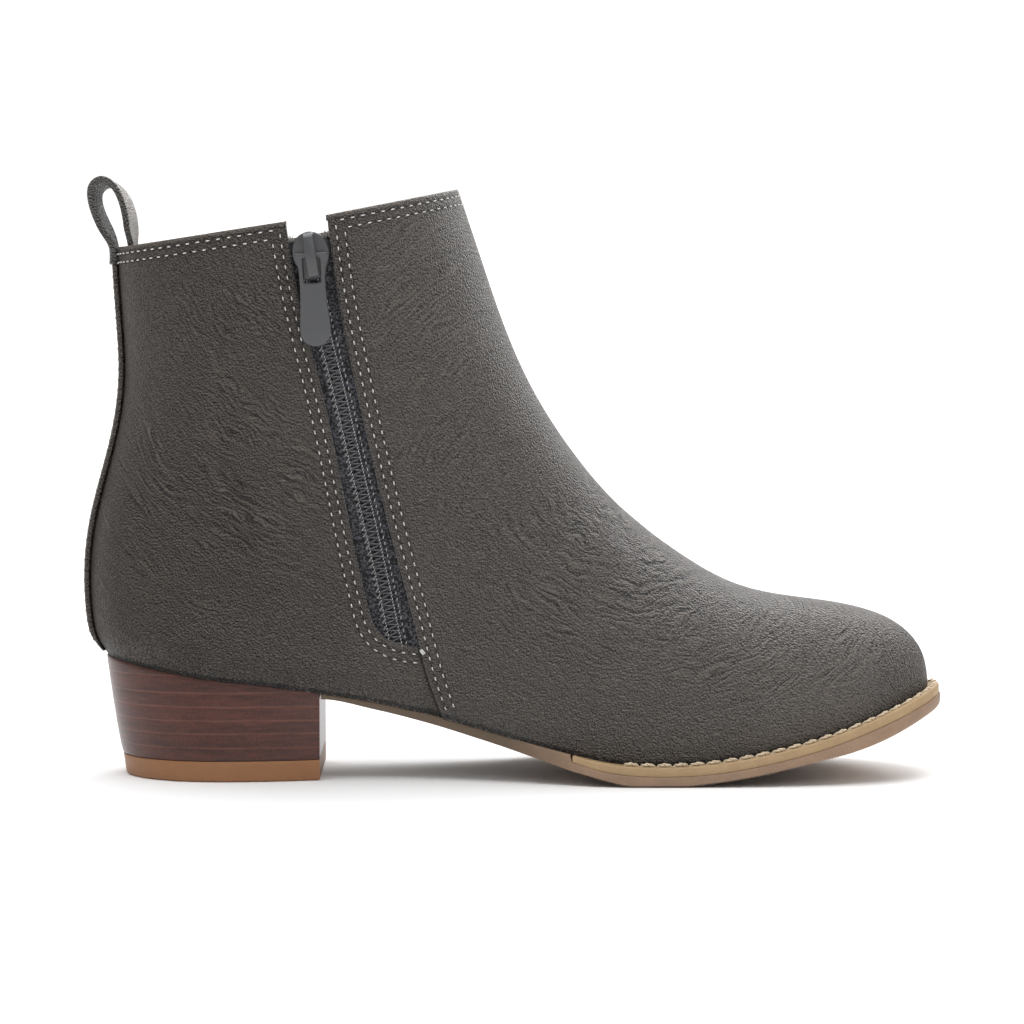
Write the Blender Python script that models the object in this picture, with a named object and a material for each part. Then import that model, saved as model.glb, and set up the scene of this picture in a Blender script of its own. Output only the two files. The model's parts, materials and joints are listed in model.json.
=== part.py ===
"""Zip ankle boot for the left foot, on a low stacked heel.

Sizes are written in millimetres and become metres when a mesh is made. The origin is on the
floor under the middle of the heel. +X points to the toe, +Z is up, and the inner side of the
foot, which has the zip, faces -Y.
"""

import math

import bmesh
import bpy
import numpy as np
from mathutils import Matrix, Vector

MM = 0.001
INNER, OUTER = -1, 1

# Driving sizes
WALL = 2.2
GAP = 0.35
TOE_X = 219.2
TOE_SWING = -4.0
TOE_ROUND_X = 146.0
WELT_REACH = 4.2
WELT_TOE_REACH = 2.8
OUTSOLE_GROW = 0.5
OUTSOLE_TOE_GROW = 1.3
COLLAR_DIP = 4.0
PANEL_STEP = 0.8
WELT_START_X = 108.5
TREAD_FLAT = (127.0, 142.0)
SOLE_BEVEL = 0.5
HEEL_BREAST_X = 31.0
TAP_HEIGHT = 6.2
INSOLE_THICKNESS = 2.0
STRIP_HALF_WIDTH = 6.0
STRIP_THICKNESS = 1.6
STRIP_LOW, STRIP_HIGH = 38.2, 157.0
LOOP_WIDTH = 13.0
LOOP_THICKNESS = 2.1
TAPE_HALF_WIDTH = 11.5
TAPE_THICKNESS = 0.8
COIL_HALF_WIDTH = 3.2
COIL_SPAN = (0.04, 0.955)

# Zip slider and its pull tab; depths and lifts are measured from the upper's outer face
HINGE_SIDE_VIEW = (29.3, 161.4)
SLIDER_LEAN = math.radians(8.5)
TAB_LEAN = math.radians(3.5)
PLATE_LOW, PLATE_HIGH = 0.1, 1.9
HINGE_LIFT = 3.0
TAB_THICKNESS = 1.4
BAR_HALF_HEIGHT = 0.75
BRIDGE_WIDTH = 3.3

# Front of the upper on its ridge, from the toe tip to the collar: x, z
FRONT_LINE = [
    (219.2, 27.4), (217.6, 37.2), (211.2, 45.5), (199.0, 51.2), (180.0, 54.4), (161.0, 58.1),
    (142.3, 68.1), (123.6, 82.8), (108.0, 101.0), (95.5, 121.0), (84.7, 147.0), (79.7, 162.0),
    (73.2, 181.1)]

# Back of the upper on its centre line, from the heel seat to the collar: x, z
BACK_LINE = [
    (-35.8, 37.2), (-38.7, 42.0), (-40.6, 51.0), (-41.0, 63.0), (-39.2, 79.0), (-35.4, 94.0),
    (-31.8, 108.5), (-30.0, 124.0), (-30.6, 140.0), (-32.1, 163.2)]

# Side seam where the front panel overlaps the quarter, from the sole to the collar: x, z
SEAM_LINE = [
    (68.5, 19.6), (65.0, 29.5), (60.6, 48.0), (55.8, 69.0), (48.4, 101.0), (41.1, 134.0),
    (36.6, 157.0), (33.7, 173.5)]

# Rear edge of the zip opening down to its rounded corner: x, z
SLOT_REAR_LINE = [
    (21.5, 172.0), (23.0, 162.0), (28.9, 134.8), (34.2, 114.0), (39.6, 87.0), (43.6, 69.0),
    (46.0, 57.5)]
SLOT_CORNER = (61.0, 42.6)
SLOT_BULGE = (48.6, 46.0)

# Middle of the zip, from its lower end to the slider: x, z
ZIP_LINE = [(54.6, 44.6), (49.6, 68.8), (43.6, 95.7), (37.3, 123.5), (30.4, 153.0), (28.3, 166.2)]

# Lower edge of the upper and underside of the sole: x, feather, ground
SOLE_LEVELS = [
    (-36.0, 37.2, 0.0), (-22.0, 34.8, 0.0), (-8.0, 32.4, 0.0), (10.0, 30.1, 0.0),
    (31.0, 27.2, 25.0), (48.0, 24.4, 21.7), (64.0, 20.9, 17.8), (80.0, 16.8, 13.2),
    (96.0, 12.5, 8.3), (108.0, 9.6, 4.5), (118.0, 7.5, 1.6), (127.0, 6.5, 0.0),
    (142.0, 6.4, 0.0), (153.0, 7.3, 1.1), (166.0, 9.5, 3.2), (178.0, 12.2, 5.8),
    (190.0, 15.7, 8.6), (204.0, 20.8, 12.8), (213.0, 24.5, 16.2), (224.0, 29.5, 21.0)]

# Half widths of the upper above the sole, and how far it tucks in at the sole:
# x, inner side, outer side, tuck
LOW_WIDTHS = [
    (-42.0, 31.0, 31.5, 4.0), (0.0, 31.0, 31.5, 4.0), (16.0, 29.6, 31.1, 3.8),
    (31.0, 27.6, 30.6, 3.4), (48.0, 26.0, 31.0, 3.0), (64.0, 27.0, 33.0, 2.6),
    (80.0, 29.8, 36.2, 2.2), (96.0, 33.2, 40.0, 2.0), (112.0, 36.2, 43.6, 1.8),
    (128.0, 38.0, 46.2, 1.6), (142.0, 37.8, 46.8, 1.6), (220.0, 37.8, 46.8, 1.2)]

# Half width of the shaft: z, half width
SHAFT_WIDTHS = [(30.0, 31.0), (60.0, 31.8), (90.0, 32.4), (120.0, 33.2), (150.0, 34.4), (185.0, 35.4)]

# Rounding of the front, by the angle of a ray from the point in front of the instep:
# angle in degrees, depth at which the full width is reached
FRONT_ROUNDING = [(0.0, 40.0), (15.0, 49.0), (30.0, 60.0), (45.0, 62.0), (60.0, 56.0), (75.0, 49.0),
                  (90.0, 45.0)]
INSTEP_POINT = (180.0, 190.0)
BACK_ROUNDING = 35.0
TUCK_HEIGHT = 11.0

# Height of the welt's edge: x, height
WELT_HEIGHTS = [(108.0, 2.3), (122.0, 3.0), (140.0, 3.1), (224.0, 3.2)]

# Middle of the pull loop's strap, from its outer end over the top to its inner end: x, z
LOOP_LINE = [
    (-33.5, 158.0), (-33.6, 163.0), (-34.9, 167.0), (-37.2, 172.0), (-38.9, 177.5), (-38.5, 181.3),
    (-35.8, 183.2), (-32.3, 181.6), (-29.7, 177.6), (-28.1, 171.5), (-27.7, 166.0), (-27.8, 160.0),
    (-27.5, 152.0)]
LOOP_TWIST = 0.15
LOOP_SLANT = 0.16

# Half widths of the heel at the floor: x, inner side, outer side
HEEL_WIDTHS = [(-32.0, 28.3, 28.6), (0.0, 28.3, 28.6), (16.0, 26.8, 28.0), (31.0, 23.4, 27.0)]
HEEL_FLOOR_BACK = -31.0
HEEL_FLOOR_ROUNDING = 30.0

# Mesh counts of the upper, and how far its rows crowd towards the back, front and sole
QUARTER_COLUMNS, QUARTER_CROWDING = 13, 2.1
FRONT_COLUMNS, FRONT_CROWDING = 19, 1.75
LEVELS, SIDE_CROWDING, RIDGE_CROWDING = 23, 1.2, 1.35


def cubic(rows):
    """Natural cubic spline through rows of (x, value), as a function of x."""
    x = np.array([row[0] for row in rows], float)
    y = np.array([row[1] for row in rows], float)
    step = np.diff(x)
    slope = np.diff(y) / step
    count = len(x)
    matrix = np.eye(count)
    right = np.zeros(count)
    for i in range(1, count - 1):
        matrix[i, i - 1:i + 2] = step[i - 1], 2 * (step[i - 1] + step[i]), step[i]
        right[i] = 6 * (slope[i] - slope[i - 1])
    bend = np.linalg.solve(matrix, right)

    def value(at):
        i = int(min(max(np.searchsorted(x, at) - 1, 0), count - 2))
        a = (x[i + 1] - at) / step[i]
        b = (at - x[i]) / step[i]
        curve = ((a ** 3 - a) * bend[i] + (b ** 3 - b) * bend[i + 1]) * step[i] ** 2 / 6
        return a * y[i] + b * y[i + 1] + curve

    return value


def monotone(rows, column=1):
    """Monotone cubic through one column of a table, as a function of its first column."""
    x = np.array([row[0] for row in rows], float)
    y = np.array([row[column] for row in rows], float)
    step = np.diff(x)
    slope = np.diff(y) / step
    tangent = np.zeros(len(x))
    tangent[0], tangent[-1] = slope[0], slope[-1]
    for i in range(1, len(x) - 1):
        if slope[i - 1] * slope[i] > 0:
            w1 = 2 * step[i] + step[i - 1]
            w2 = step[i] + 2 * step[i - 1]
            tangent[i] = (w1 + w2) / (w1 / slope[i - 1] + w2 / slope[i])

    def value(at):
        at = min(max(at, x[0]), x[-1])
        i = int(min(max(np.searchsorted(x, at) - 1, 0), len(x) - 2))
        t = (at - x[i]) / step[i]
        rise = y[i] * (1 + 2 * t) * (1 - t) ** 2 + y[i + 1] * t * t * (3 - 2 * t)
        return rise + step[i] * (tangent[i] * t * (1 - t) ** 2 + tangent[i + 1] * t * t * (t - 1))

    return value


class Line:
    """Smooth curve in the side view, read by its share of the length."""

    SAMPLES = 400

    def __init__(self, points):
        points = np.array(points, float)
        chord = np.concatenate([[0], np.cumsum(np.hypot(*np.diff(points, axis=0).T))])
        fit_x = cubic(list(zip(chord, points[:, 0])))
        fit_z = cubic(list(zip(chord, points[:, 1])))
        places = np.linspace(0, chord[-1], self.SAMPLES)
        self.x = np.array([fit_x(place) for place in places])
        self.z = np.array([fit_z(place) for place in places])
        length = np.concatenate([[0], np.cumsum(np.hypot(np.diff(self.x), np.diff(self.z)))])
        self.length = length[-1]
        self.share = length / length[-1]

    def at(self, share):
        return np.array([np.interp(share, self.share, self.x), np.interp(share, self.share, self.z)])

    def x_at_z(self, z):
        order = np.argsort(self.z)
        return float(np.interp(z, self.z[order], self.x[order]))

    def z_at_x(self, x):
        order = np.argsort(self.x)
        return float(np.interp(x, self.x[order], self.z[order]))


def smoothstep(low, high, value):
    t = min(max((value - low) / (high - low), 0.0), 1.0)
    return t * t * (3 - 2 * t)


def round_end(share):
    """Quarter ellipse from 0 at the end of a section to 1 at its full width."""
    return math.sqrt(1 - (1 - min(max(share, 0.0), 1.0)) ** 2)


front = Line(FRONT_LINE)
back = Line(BACK_LINE)
seam = Line(SEAM_LINE)
slot_rear = Line(SLOT_REAR_LINE)
zip_middle = Line(ZIP_LINE)
feather = cubic(SOLE_LEVELS)
ground = monotone(SOLE_LEVELS, 2)
low_width = {INNER: monotone(LOW_WIDTHS, 1), OUTER: monotone(LOW_WIDTHS, 2)}
tuck = monotone(LOW_WIDTHS, 3)
shaft_width = monotone(SHAFT_WIDTHS)
front_rounding = monotone(FRONT_ROUNDING)
heel_width = {INNER: monotone(HEEL_WIDTHS, 1), OUTER: monotone(HEEL_WIDTHS, 2)}
welt_height = monotone(WELT_HEIGHTS)
SEAM_SHARE = (SEAM_LINE[-1][0] - BACK_LINE[-1][0]) / (FRONT_LINE[-1][0] - BACK_LINE[-1][0])

ray_x = front.x - INSTEP_POINT[0]
ray_z = INSTEP_POINT[1] - front.z
ray_angle = np.degrees(np.arctan2(-ray_x, ray_z))
ray_length = np.hypot(ray_x, ray_z)


def toe_round(x, tip=TOE_X):
    """Share of the full width left at x, down to 0 at the toe tip."""
    share = min(max((x - TOE_ROUND_X) / (tip - TOE_ROUND_X), 0.0), 1.0)
    return (1 - share ** 2) ** 0.526


def ridge(x):
    """Sideways place of the toe's centre line, which swings to the inner side."""
    return TOE_SWING * smoothstep(150.0, 232.0, x) / smoothstep(150.0, 232.0, TOE_X)


def front_share(x, z):
    """How far a point is behind the front line, as a share of the front's rounding."""
    if x >= INSTEP_POINT[0]:
        top = front.z_at_x(x)
        return (top - z) / max((top - feather(x)) * 0.94, 0.1)
    angle = math.degrees(math.atan2(INSTEP_POINT[0] - x, INSTEP_POINT[1] - z))
    edge = np.interp(angle, ray_angle, ray_length)
    depth = math.hypot(x - INSTEP_POINT[0], z - INSTEP_POINT[1]) - edge
    return depth / front_rounding(angle)


def skin(x, z, side):
    """Sideways place of the upper's outer face at a point of the side view."""
    low = low_width[side](x) * toe_round(x)
    width = low + (shaft_width(z) - low) * smoothstep(40.0, 118.0, z) * smoothstep(185.0, 130.0, x)
    height = max(z - feather(x), 0.0)
    width -= tuck(x) * max(1 - height / TUCK_HEIGHT, 0.0) ** 2 * toe_round(x)
    width *= round_end((x - back.x_at_z(z)) / BACK_ROUNDING)
    width *= round_end(front_share(x, z))
    return ridge(x) + side * width


def collar(share, side):
    """Collar edge in the side view, lower on the outer side."""
    back_top, seam_top, front_top = (np.array(line[-1]) for line in (BACK_LINE, SEAM_LINE, FRONT_LINE))
    if share < SEAM_SHARE:
        point = back_top + (seam_top - back_top) * share / SEAM_SHARE
    else:
        point = seam_top + (front_top - seam_top) * (share - SEAM_SHARE) / (1 - SEAM_SHARE)
    if side == OUTER:
        point = point - np.array([0.0, COLLAR_DIP * math.sin(math.pi * share)])
    return point


def patch(share, level, left, right, low_ends, top_ends, side):
    """Side-view grid point of one panel, blended from its four edges."""
    def low(part):
        x = low_ends[0] + (low_ends[1] - low_ends[0]) * part
        return np.array([x, feather(x)])

    def top(part):
        return collar(top_ends[0] + (top_ends[1] - top_ends[0]) * part, side)

    across = (1 - share) * left(level) + share * right(level)
    along = (1 - level) * low(share) + level * top(share)
    corners = ((1 - share) * (1 - level) * low(0) + share * (1 - level) * low(1)
               + (1 - share) * level * top(0) + share * level * top(1))
    return across + along - corners


def side_edge(line, dip_share):
    """Edge of a panel, shortened at the top by the outer side's lower collar."""
    def edge(level, side):
        point = line.at(level ** SIDE_CROWDING)
        if side == OUTER:
            drop = COLLAR_DIP * math.sin(math.pi * dip_share) * level
            point = point - np.array([0.0, drop])
        return point
    return edge


back_edge = side_edge(back, 0.0)
seam_edge = side_edge(seam, SEAM_SHARE)


def front_edge(level):
    return front.at(level ** RIDGE_CROWDING)


def grid_point(column, level, side):
    """Point of the upper's outer face: column 0 is the back, the last one the front ridge."""
    if column <= QUARTER_COLUMNS:
        share = (column / QUARTER_COLUMNS) ** QUARTER_CROWDING
        x, z = patch(share, level, lambda t: back_edge(t, side), lambda t: seam_edge(t, side),
                     (BACK_LINE[0][0], SEAM_LINE[0][0]), (0.0, SEAM_SHARE), side)
    else:
        share = 1 - (1 - (column - QUARTER_COLUMNS) / FRONT_COLUMNS) ** FRONT_CROWDING
        x, z = patch(share, level, lambda t: seam_edge(t, side), front_edge,
                     (SEAM_LINE[0][0], TOE_X), (SEAM_SHARE, 1.0), side)
    if column in (0, QUARTER_COLUMNS + FRONT_COLUMNS):
        return np.array([x, ridge(x), z])
    return np.array([x, skin(x, z, side), z])


def upper_grid():
    """Outer face as levels of closed rings: inner side from back to front, then outer side."""
    last = QUARTER_COLUMNS + FRONT_COLUMNS
    rings = []
    for j in range(LEVELS + 1):
        level = j / LEVELS
        ring = [grid_point(column, level, INNER) for column in range(last + 1)]
        ring += [grid_point(column, level, OUTER) for column in range(last - 1, 0, -1)]
        rings.append(ring)
    return np.array(rings)


def outward(grid):
    """Unit normals of a grid of closed rings."""
    around = np.roll(grid, -1, axis=1) - np.roll(grid, 1, axis=1)
    up = np.gradient(grid, axis=0)
    normal = np.cross(around, up)
    return normal / np.linalg.norm(normal, axis=2, keepdims=True)


def material(name, colour, roughness, metallic=0.0):
    made = bpy.data.materials.new(name)
    made.use_nodes = True
    shader = made.node_tree.nodes["Principled BSDF"]
    shader.inputs["Base Color"].default_value = (*colour, 1.0)
    shader.inputs["Roughness"].default_value = roughness
    shader.inputs["Metallic"].default_value = metallic
    return made


def new_object(name, verts, faces, finish, smooth=True):
    """Mesh object from vertices in millimetres."""
    mesh = bpy.data.meshes.new(name)
    mesh.from_pydata([tuple(float(c) * MM for c in vert) for vert in verts], [], faces)
    work = bmesh.new()
    work.from_mesh(mesh)
    bmesh.ops.recalc_face_normals(work, faces=work.faces)
    work.to_mesh(mesh)
    work.free()
    if smooth:
        mesh.shade_smooth()
        mesh.set_sharp_from_angle(angle=math.radians(40))
    mesh.materials.append(finish)
    made = bpy.data.objects.new(name, mesh)
    parts.objects.link(made)
    return made


def strip_faces(first, second, closed):
    """Quads between two equal rows of vertex numbers."""
    count = len(first)
    spans = range(count if closed else count - 1)
    return [(first[i], first[(i + 1) % count], second[(i + 1) % count], second[i]) for i in spans]


def loft(name, sections, finish):
    """Closed solid through sections of equal point counts, with flat ends."""
    count = len(sections[0])
    verts = [point for section in sections for point in section]
    rows = [list(range(i * count, (i + 1) * count)) for i in range(len(sections))]
    faces = []
    for first, second in zip(rows, rows[1:]):
        faces += strip_faces(first, second, True)
    faces += [tuple(rows[0]), tuple(reversed(rows[-1]))]
    return new_object(name, verts, faces, finish)


def pair_cap(row):
    """Faces across an outline whose second half mirrors its first."""
    count = len(row)
    faces = []
    for i in range(count // 2):
        face = (row[i], row[i + 1], row[count - 2 - i], row[count - 1 - i])
        if len(set(face)) > 2:
            faces.append(tuple(dict.fromkeys(face)))
    return faces


def bowl(name, rings, finish):
    """Closed solid through stacked outlines, each with one straight edge, and flat ends."""
    count = len(rings[0])
    verts = [point for ring in rings for point in ring]
    rows = [list(range(i * count, (i + 1) * count)) for i in range(len(rings))]
    faces = []
    for first, second in zip(rows, rows[1:]):
        faces += strip_faces(first, second, True)
    faces += pair_cap(rows[0]) + pair_cap(rows[-1])
    return new_object(name, verts, faces, finish)


def plate(name, outlines, thickness):
    """Mesh of flat outlines, the first solid and the others holes, centred on z = 0."""
    curve = bpy.data.curves.new(name, "CURVE")
    curve.dimensions = "2D"
    curve.fill_mode = "BOTH"
    curve.extrude = thickness * MM / 2
    for outline in outlines:
        spline = curve.splines.new("POLY")
        spline.points.add(len(outline) - 1)
        for point, (a, b) in zip(spline.points, outline):
            point.co = (a * MM, b * MM, 0.0, 1.0)
        spline.use_cyclic_u = True
    holder = bpy.data.objects.new(name + "_outline", curve)
    bpy.context.scene.collection.objects.link(holder)
    bpy.context.view_layer.update()
    evaluated = holder.evaluated_get(bpy.context.evaluated_depsgraph_get())
    mesh = bpy.data.meshes.new_from_object(evaluated)
    bpy.data.objects.remove(holder)
    work = bmesh.new()
    work.from_mesh(mesh)
    bmesh.ops.remove_doubles(work, verts=work.verts, dist=0.00001)
    bmesh.ops.recalc_face_normals(work, faces=work.faces)
    work.to_mesh(mesh)
    work.free()
    return mesh


def cutter(name, mesh, matrix=None):
    made = bpy.data.objects.new(name, mesh)
    made.hide_render = True
    made.display_type = "WIRE"
    if matrix is not None:
        made.matrix_world = matrix
    cutters.objects.link(made)
    return made


def combine(target, other, operation, solver="EXACT"):
    modifier = target.modifiers.new(other.name, "BOOLEAN")
    modifier.operation = operation
    modifier.object = other
    modifier.solver = solver


def offset_skin(x, z, depth, side=INNER):
    """Point at a depth under the upper's outer face, measured along its normal."""
    step = 0.5
    slope_x = (skin(x + step, z, side) - skin(x - step, z, side)) / (2 * step)
    slope_z = (skin(x, z + step, side) - skin(x, z - step, side)) / (2 * step)
    normal = np.array([-slope_x, 1.0, -slope_z]) * side
    normal /= np.linalg.norm(normal)
    return np.array([x, skin(x, z, side), z]) - normal * depth, normal


def make_upper(finish):
    """Hollow leather upper: one wall, open at the collar, underneath and along the zip.

    Gives the grid of its inner face.
    """
    outer = upper_grid()
    normal = outward(outer)
    for j in (0, LEVELS):
        flat = normal[j] * np.array([1.0, 1.0, 0.0])
        normal[j] = flat / np.linalg.norm(flat, axis=1, keepdims=True)
    inner = outer - normal * WALL
    last = QUARTER_COLUMNS + FRONT_COLUMNS
    count = 2 * last
    columns = {INNER: list(range(QUARTER_COLUMNS + 1)),
               OUTER: [0] + list(range(count - 1, count - QUARTER_COLUMNS - 1, -1))}
    lowered = outer.copy()
    for side_columns in columns.values():
        for place, column in enumerate(side_columns):
            depth = PANEL_STEP * smoothstep(QUARTER_COLUMNS - 4, QUARTER_COLUMNS, place)
            lowered[:, column] -= normal[:, column] * depth

    seams = (QUARTER_COLUMNS, count - QUARTER_COLUMNS)
    verts = []
    outer_rows, inner_rows = [], []
    for j in range(LEVELS + 1):
        row = []
        for column in range(count):
            row.append(len(verts))
            verts.append(lowered[j, column])
            if column in seams:
                row.append(len(verts))
                verts.append(outer[j, column])
                if column == seams[1]:
                    row[-2], row[-1] = row[-1], row[-2]
        outer_rows.append(row)
    for j in range(LEVELS + 1):
        row = []
        for column in range(count):
            row.append(len(verts))
            verts.append(inner[j, column])
            if column in seams:
                row.append(row[-1])
        inner_rows.append(row)

    faces = []
    for rows in (outer_rows, inner_rows):
        for first, second in zip(rows, rows[1:]):
            faces += strip_faces(first, second, True)
    for level in (0, -1):
        faces += strip_faces(outer_rows[level], inner_rows[level], True)
    faces = [tuple(dict.fromkeys(face)) for face in faces]
    faces = [face for face in faces if len(face) > 2]
    upper = new_object("upper", verts, faces, finish)

    slot = cutter("zip_slot", plate("zip_slot", [slot_outline()], 60.0),
                  Matrix.Translation((0.0, -45.0 * MM, 0.0)) @ Matrix.Rotation(math.pi / 2, 4, "X"))
    combine(upper, slot, "DIFFERENCE")
    return inner


def slot_outline():
    """Side-view outline of the zip opening, run out above the collar."""
    above = 20.0
    overlap = 0.3
    rear = [slot_rear.at(share) for share in np.linspace(0, 1, 8)]
    start, bulge, end = rear[-1], np.array(SLOT_BULGE), np.array(SLOT_CORNER)
    corner = [(1 - t) ** 2 * start + 2 * t * (1 - t) * bulge + t * t * end for t in (0.2, 0.4, 0.6, 0.8)]
    levels = np.linspace(SLOT_CORNER[1], SEAM_LINE[-1][1], 8)
    front_side = [np.array([seam.x_at_z(z) + overlap, z]) for z in levels]
    run_out = rear[0] - rear[1]
    top_rear = rear[0] + run_out / np.linalg.norm(run_out) * above
    run_out = front_side[-1] - front_side[-2]
    top_front = front_side[-1] + run_out / np.linalg.norm(run_out) * above
    return [top_rear, *rear, *corner, *front_side, top_front]


def make_insole(inner, finish):
    """Insole board that closes the upper's underside, inside its wall."""
    side_gap = GAP + 0.1
    lift = 0.1
    ring = inner[0]
    ahead = np.roll(ring, -1, axis=0) - np.roll(ring, 1, axis=0)
    normal = np.column_stack([ahead[:, 1], -ahead[:, 0], np.zeros(len(ring))])
    normal /= np.linalg.norm(normal, axis=1, keepdims=True)
    board = ring - normal * side_gap
    low = [(x, y, feather(x) + lift) for x, y, _ in board]
    high = [(x, y, feather(x) + lift + INSOLE_THICKNESS) for x, y, _ in board]
    count = len(board)
    verts = low + high
    faces = strip_faces(list(range(count)), list(range(count, 2 * count)), True)
    for first in (0, count):
        for i in range(count // 2):
            face = (first + i, first + i + 1, first + (count - i - 1) % count, first + (count - i) % count)
            faces.append(tuple(dict.fromkeys(face)))
    return new_object("insole", verts, [face for face in faces if len(face) > 2], finish)


def sole_edge(x, side, tip, grow):
    """Sideways place of the sole's edge, for an outline with its own tip and extra width."""
    waist_inset = 0.4
    reach = WELT_REACH * smoothstep(84.0, 118.0, x) - waist_inset
    width = low_width[side](x) - tuck(x) + reach + grow
    return ridge(min(x, TOE_X)) + side * width * toe_round(x, tip)


def sole_stations(start, tip, count):
    """Places along the sole, closer together near the toe tip."""
    short_of_tip = 0.04
    places = [start + (tip - start) * math.sin(math.pi / 2 * i / count) for i in range(count)]
    return places + [tip - short_of_tip]


def sole_section(x, tip, grow, top, bottom):
    """Cross-section of a sole layer, with its edges softened."""
    inner_y = sole_edge(x, INNER, tip, grow)
    outer_y = sole_edge(x, OUTER, tip, grow)
    cut = min(SOLE_BEVEL, (outer_y - inner_y) * 0.3, (top - bottom) * 0.3)
    return [(x, inner_y + cut, top), (x, outer_y - cut, top), (x, outer_y, top - cut),
            (x, outer_y, bottom + cut), (x, outer_y - cut, bottom), (x, inner_y + cut, bottom),
            (x, inner_y, bottom + cut), (x, inner_y, top - cut)]


def make_welt(finish):
    """Raised welt plate round the forefoot, between the upper and the outsole."""
    tip = TOE_X + WELT_TOE_REACH
    sections = []
    for x in sole_stations(WELT_START_X, tip, 22):
        top = feather(x) - GAP
        sections.append(sole_section(x, tip, 0.0, top, top - welt_height(x)))
    return loft("welt", sections, finish)


def make_outsole(finish):
    """Outsole from the heel breast through the waist to the toe, let in under the welt."""
    tip = TOE_X + WELT_TOE_REACH + OUTSOLE_TOE_GROW
    start = HEEL_BREAST_X + 0.4
    step_end = WELT_START_X - 0.7
    step_length = 0.3
    waist = np.linspace(start, step_end, 9)
    sections = [sole_section(x, tip, 0.0, feather(x) - GAP, ground(x)) for x in waist]
    for x in sorted(sole_stations(step_end + step_length, tip, 23) + list(TREAD_FLAT)):
        top = feather(x) - 2 * GAP - welt_height(x)
        grow = OUTSOLE_GROW * smoothstep(108.0, 122.0, x)
        sections.append(sole_section(x, tip, grow, top, ground(x)))
    return loft("outsole", sections, finish)


def heel_ring(share, z_of, inset):
    """Outline of the heel at a share of its height, 0 at the floor and 1 at the seat."""
    count = 13
    seat_inset = 0.4
    seat_back = BACK_LINE[0][0] - 0.3
    rear = HEEL_FLOOR_BACK + (seat_back - HEEL_FLOOR_BACK) * share ** 0.8
    rounding = HEEL_FLOOR_ROUNDING + (BACK_ROUNDING - HEEL_FLOOR_ROUNDING) * share
    points = {INNER: [], OUTER: []}
    for side in (INNER, OUTER):
        for i in range(count + 1):
            x = HEEL_BREAST_X + (rear - HEEL_BREAST_X) * math.sin(math.pi / 2 * i / count)
            seat = low_width[side](x) - tuck(x) - seat_inset
            width = heel_width[side](x) + (seat - heel_width[side](x)) * share - inset
            y = side * width * round_end((x - rear) / rounding)
            points[side].append((x, y, z_of(x)))
    return points[INNER][:-1] + list(reversed(points[OUTER]))


def make_heel(finish):
    """Stacked heel block with a straight breast."""
    floor = TAP_HEIGHT + GAP
    rings = []
    for share in (0.0, 0.25, 0.5, 0.75, 1.0):
        def height(x, share=share):
            return floor + (feather(x) - GAP - floor) * share
        rings.append(heel_ring(share, height, 0.0))
    return bowl("heel", rings, finish)


def make_heel_tap(finish):
    """Top piece: the layer of the heel that stands on the floor."""
    chamfer = 0.4
    rings = [heel_ring(0.0, lambda x: 0.0, chamfer), heel_ring(0.0, lambda x: chamfer, 0.0),
             heel_ring(0.0, lambda x: TAP_HEIGHT, 0.0)]
    return bowl("heel_tap", rings, finish)


def back_point(y, z, lift):
    """Point at a lift off the upper's back, at a sideways place y."""
    width = abs(skin(back.x_at_z(z) + BACK_ROUNDING, z, INNER))
    x = back.x_at_z(z) + BACK_ROUNDING * (1 - math.sqrt(1 - (y / width) ** 2))
    normal = np.array([-math.sqrt(1 - (y / width) ** 2), y / width])
    normal /= np.linalg.norm(normal)
    return (x + normal[0] * lift, y + normal[1] * lift, z)


def make_back_strip(finish):
    """Strip over the back seam, from the heel seat to the pull loop."""
    edge_cut = 0.7
    narrow = STRIP_HALF_WIDTH - edge_cut
    sections = []
    for z in np.linspace(STRIP_LOW, STRIP_HIGH, 22):
        thickness = STRIP_THICKNESS * (0.45 + 0.55 * smoothstep(37.0, 44.0, z))
        under = [back_point(y, z, GAP) for y in np.linspace(-STRIP_HALF_WIDTH, STRIP_HALF_WIDTH, 5)]
        over = [back_point(y, z, GAP + thickness) for y in np.linspace(narrow, -narrow, 5)]
        sections.append(under + over)
    return loft("back_strip", sections, finish)


def make_pull_loop(finish):
    """Pull loop: one leather strap folded over the collar at the back."""
    line = Line(LOOP_LINE)
    half, thick = LOOP_WIDTH / 2, LOOP_THICKNESS / 2
    corner = 0.6
    profile = [(-half, -thick + corner), (-half + corner, -thick), (0.0, -thick), (half - corner, -thick),
               (half, -thick + corner), (half, thick - corner), (half - corner, thick), (0.0, thick),
               (-half + corner, thick), (-half, thick - corner)]
    count = 34
    sections = []
    for i in range(count + 1):
        share = i / count
        x, z = line.at(share)
        ahead = line.at(min(share + 0.01, 1)) - line.at(max(share - 0.01, 0))
        ahead /= np.linalg.norm(ahead)
        free = smoothstep(162.0, 170.0, z)
        section = []
        for y, lift in profile:
            shift = y * LOOP_TWIST * free + y * y / (2 * BACK_ROUNDING) * (1 - free)
            drop = y * LOOP_SLANT * smoothstep(166.0, 183.0, z)
            section.append((x + ahead[1] * lift + shift, y, z - ahead[0] * lift - drop))
        sections.append(section)
    return loft("pull_loop", sections, finish)


def zip_section(share, half_width, depths):
    """Cross-section at a share of the zip's length, from shares of its half width and depths."""
    x, z = zip_middle.at(share)
    ahead = zip_middle.at(min(share + 0.01, 1)) - zip_middle.at(max(share - 0.01, 0))
    ahead /= np.linalg.norm(ahead)
    points = []
    for across, depth in depths:
        place = across * half_width
        point, _ = offset_skin(x + ahead[1] * place, z - ahead[0] * place, depth)
        points.append(point)
    return points


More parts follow.
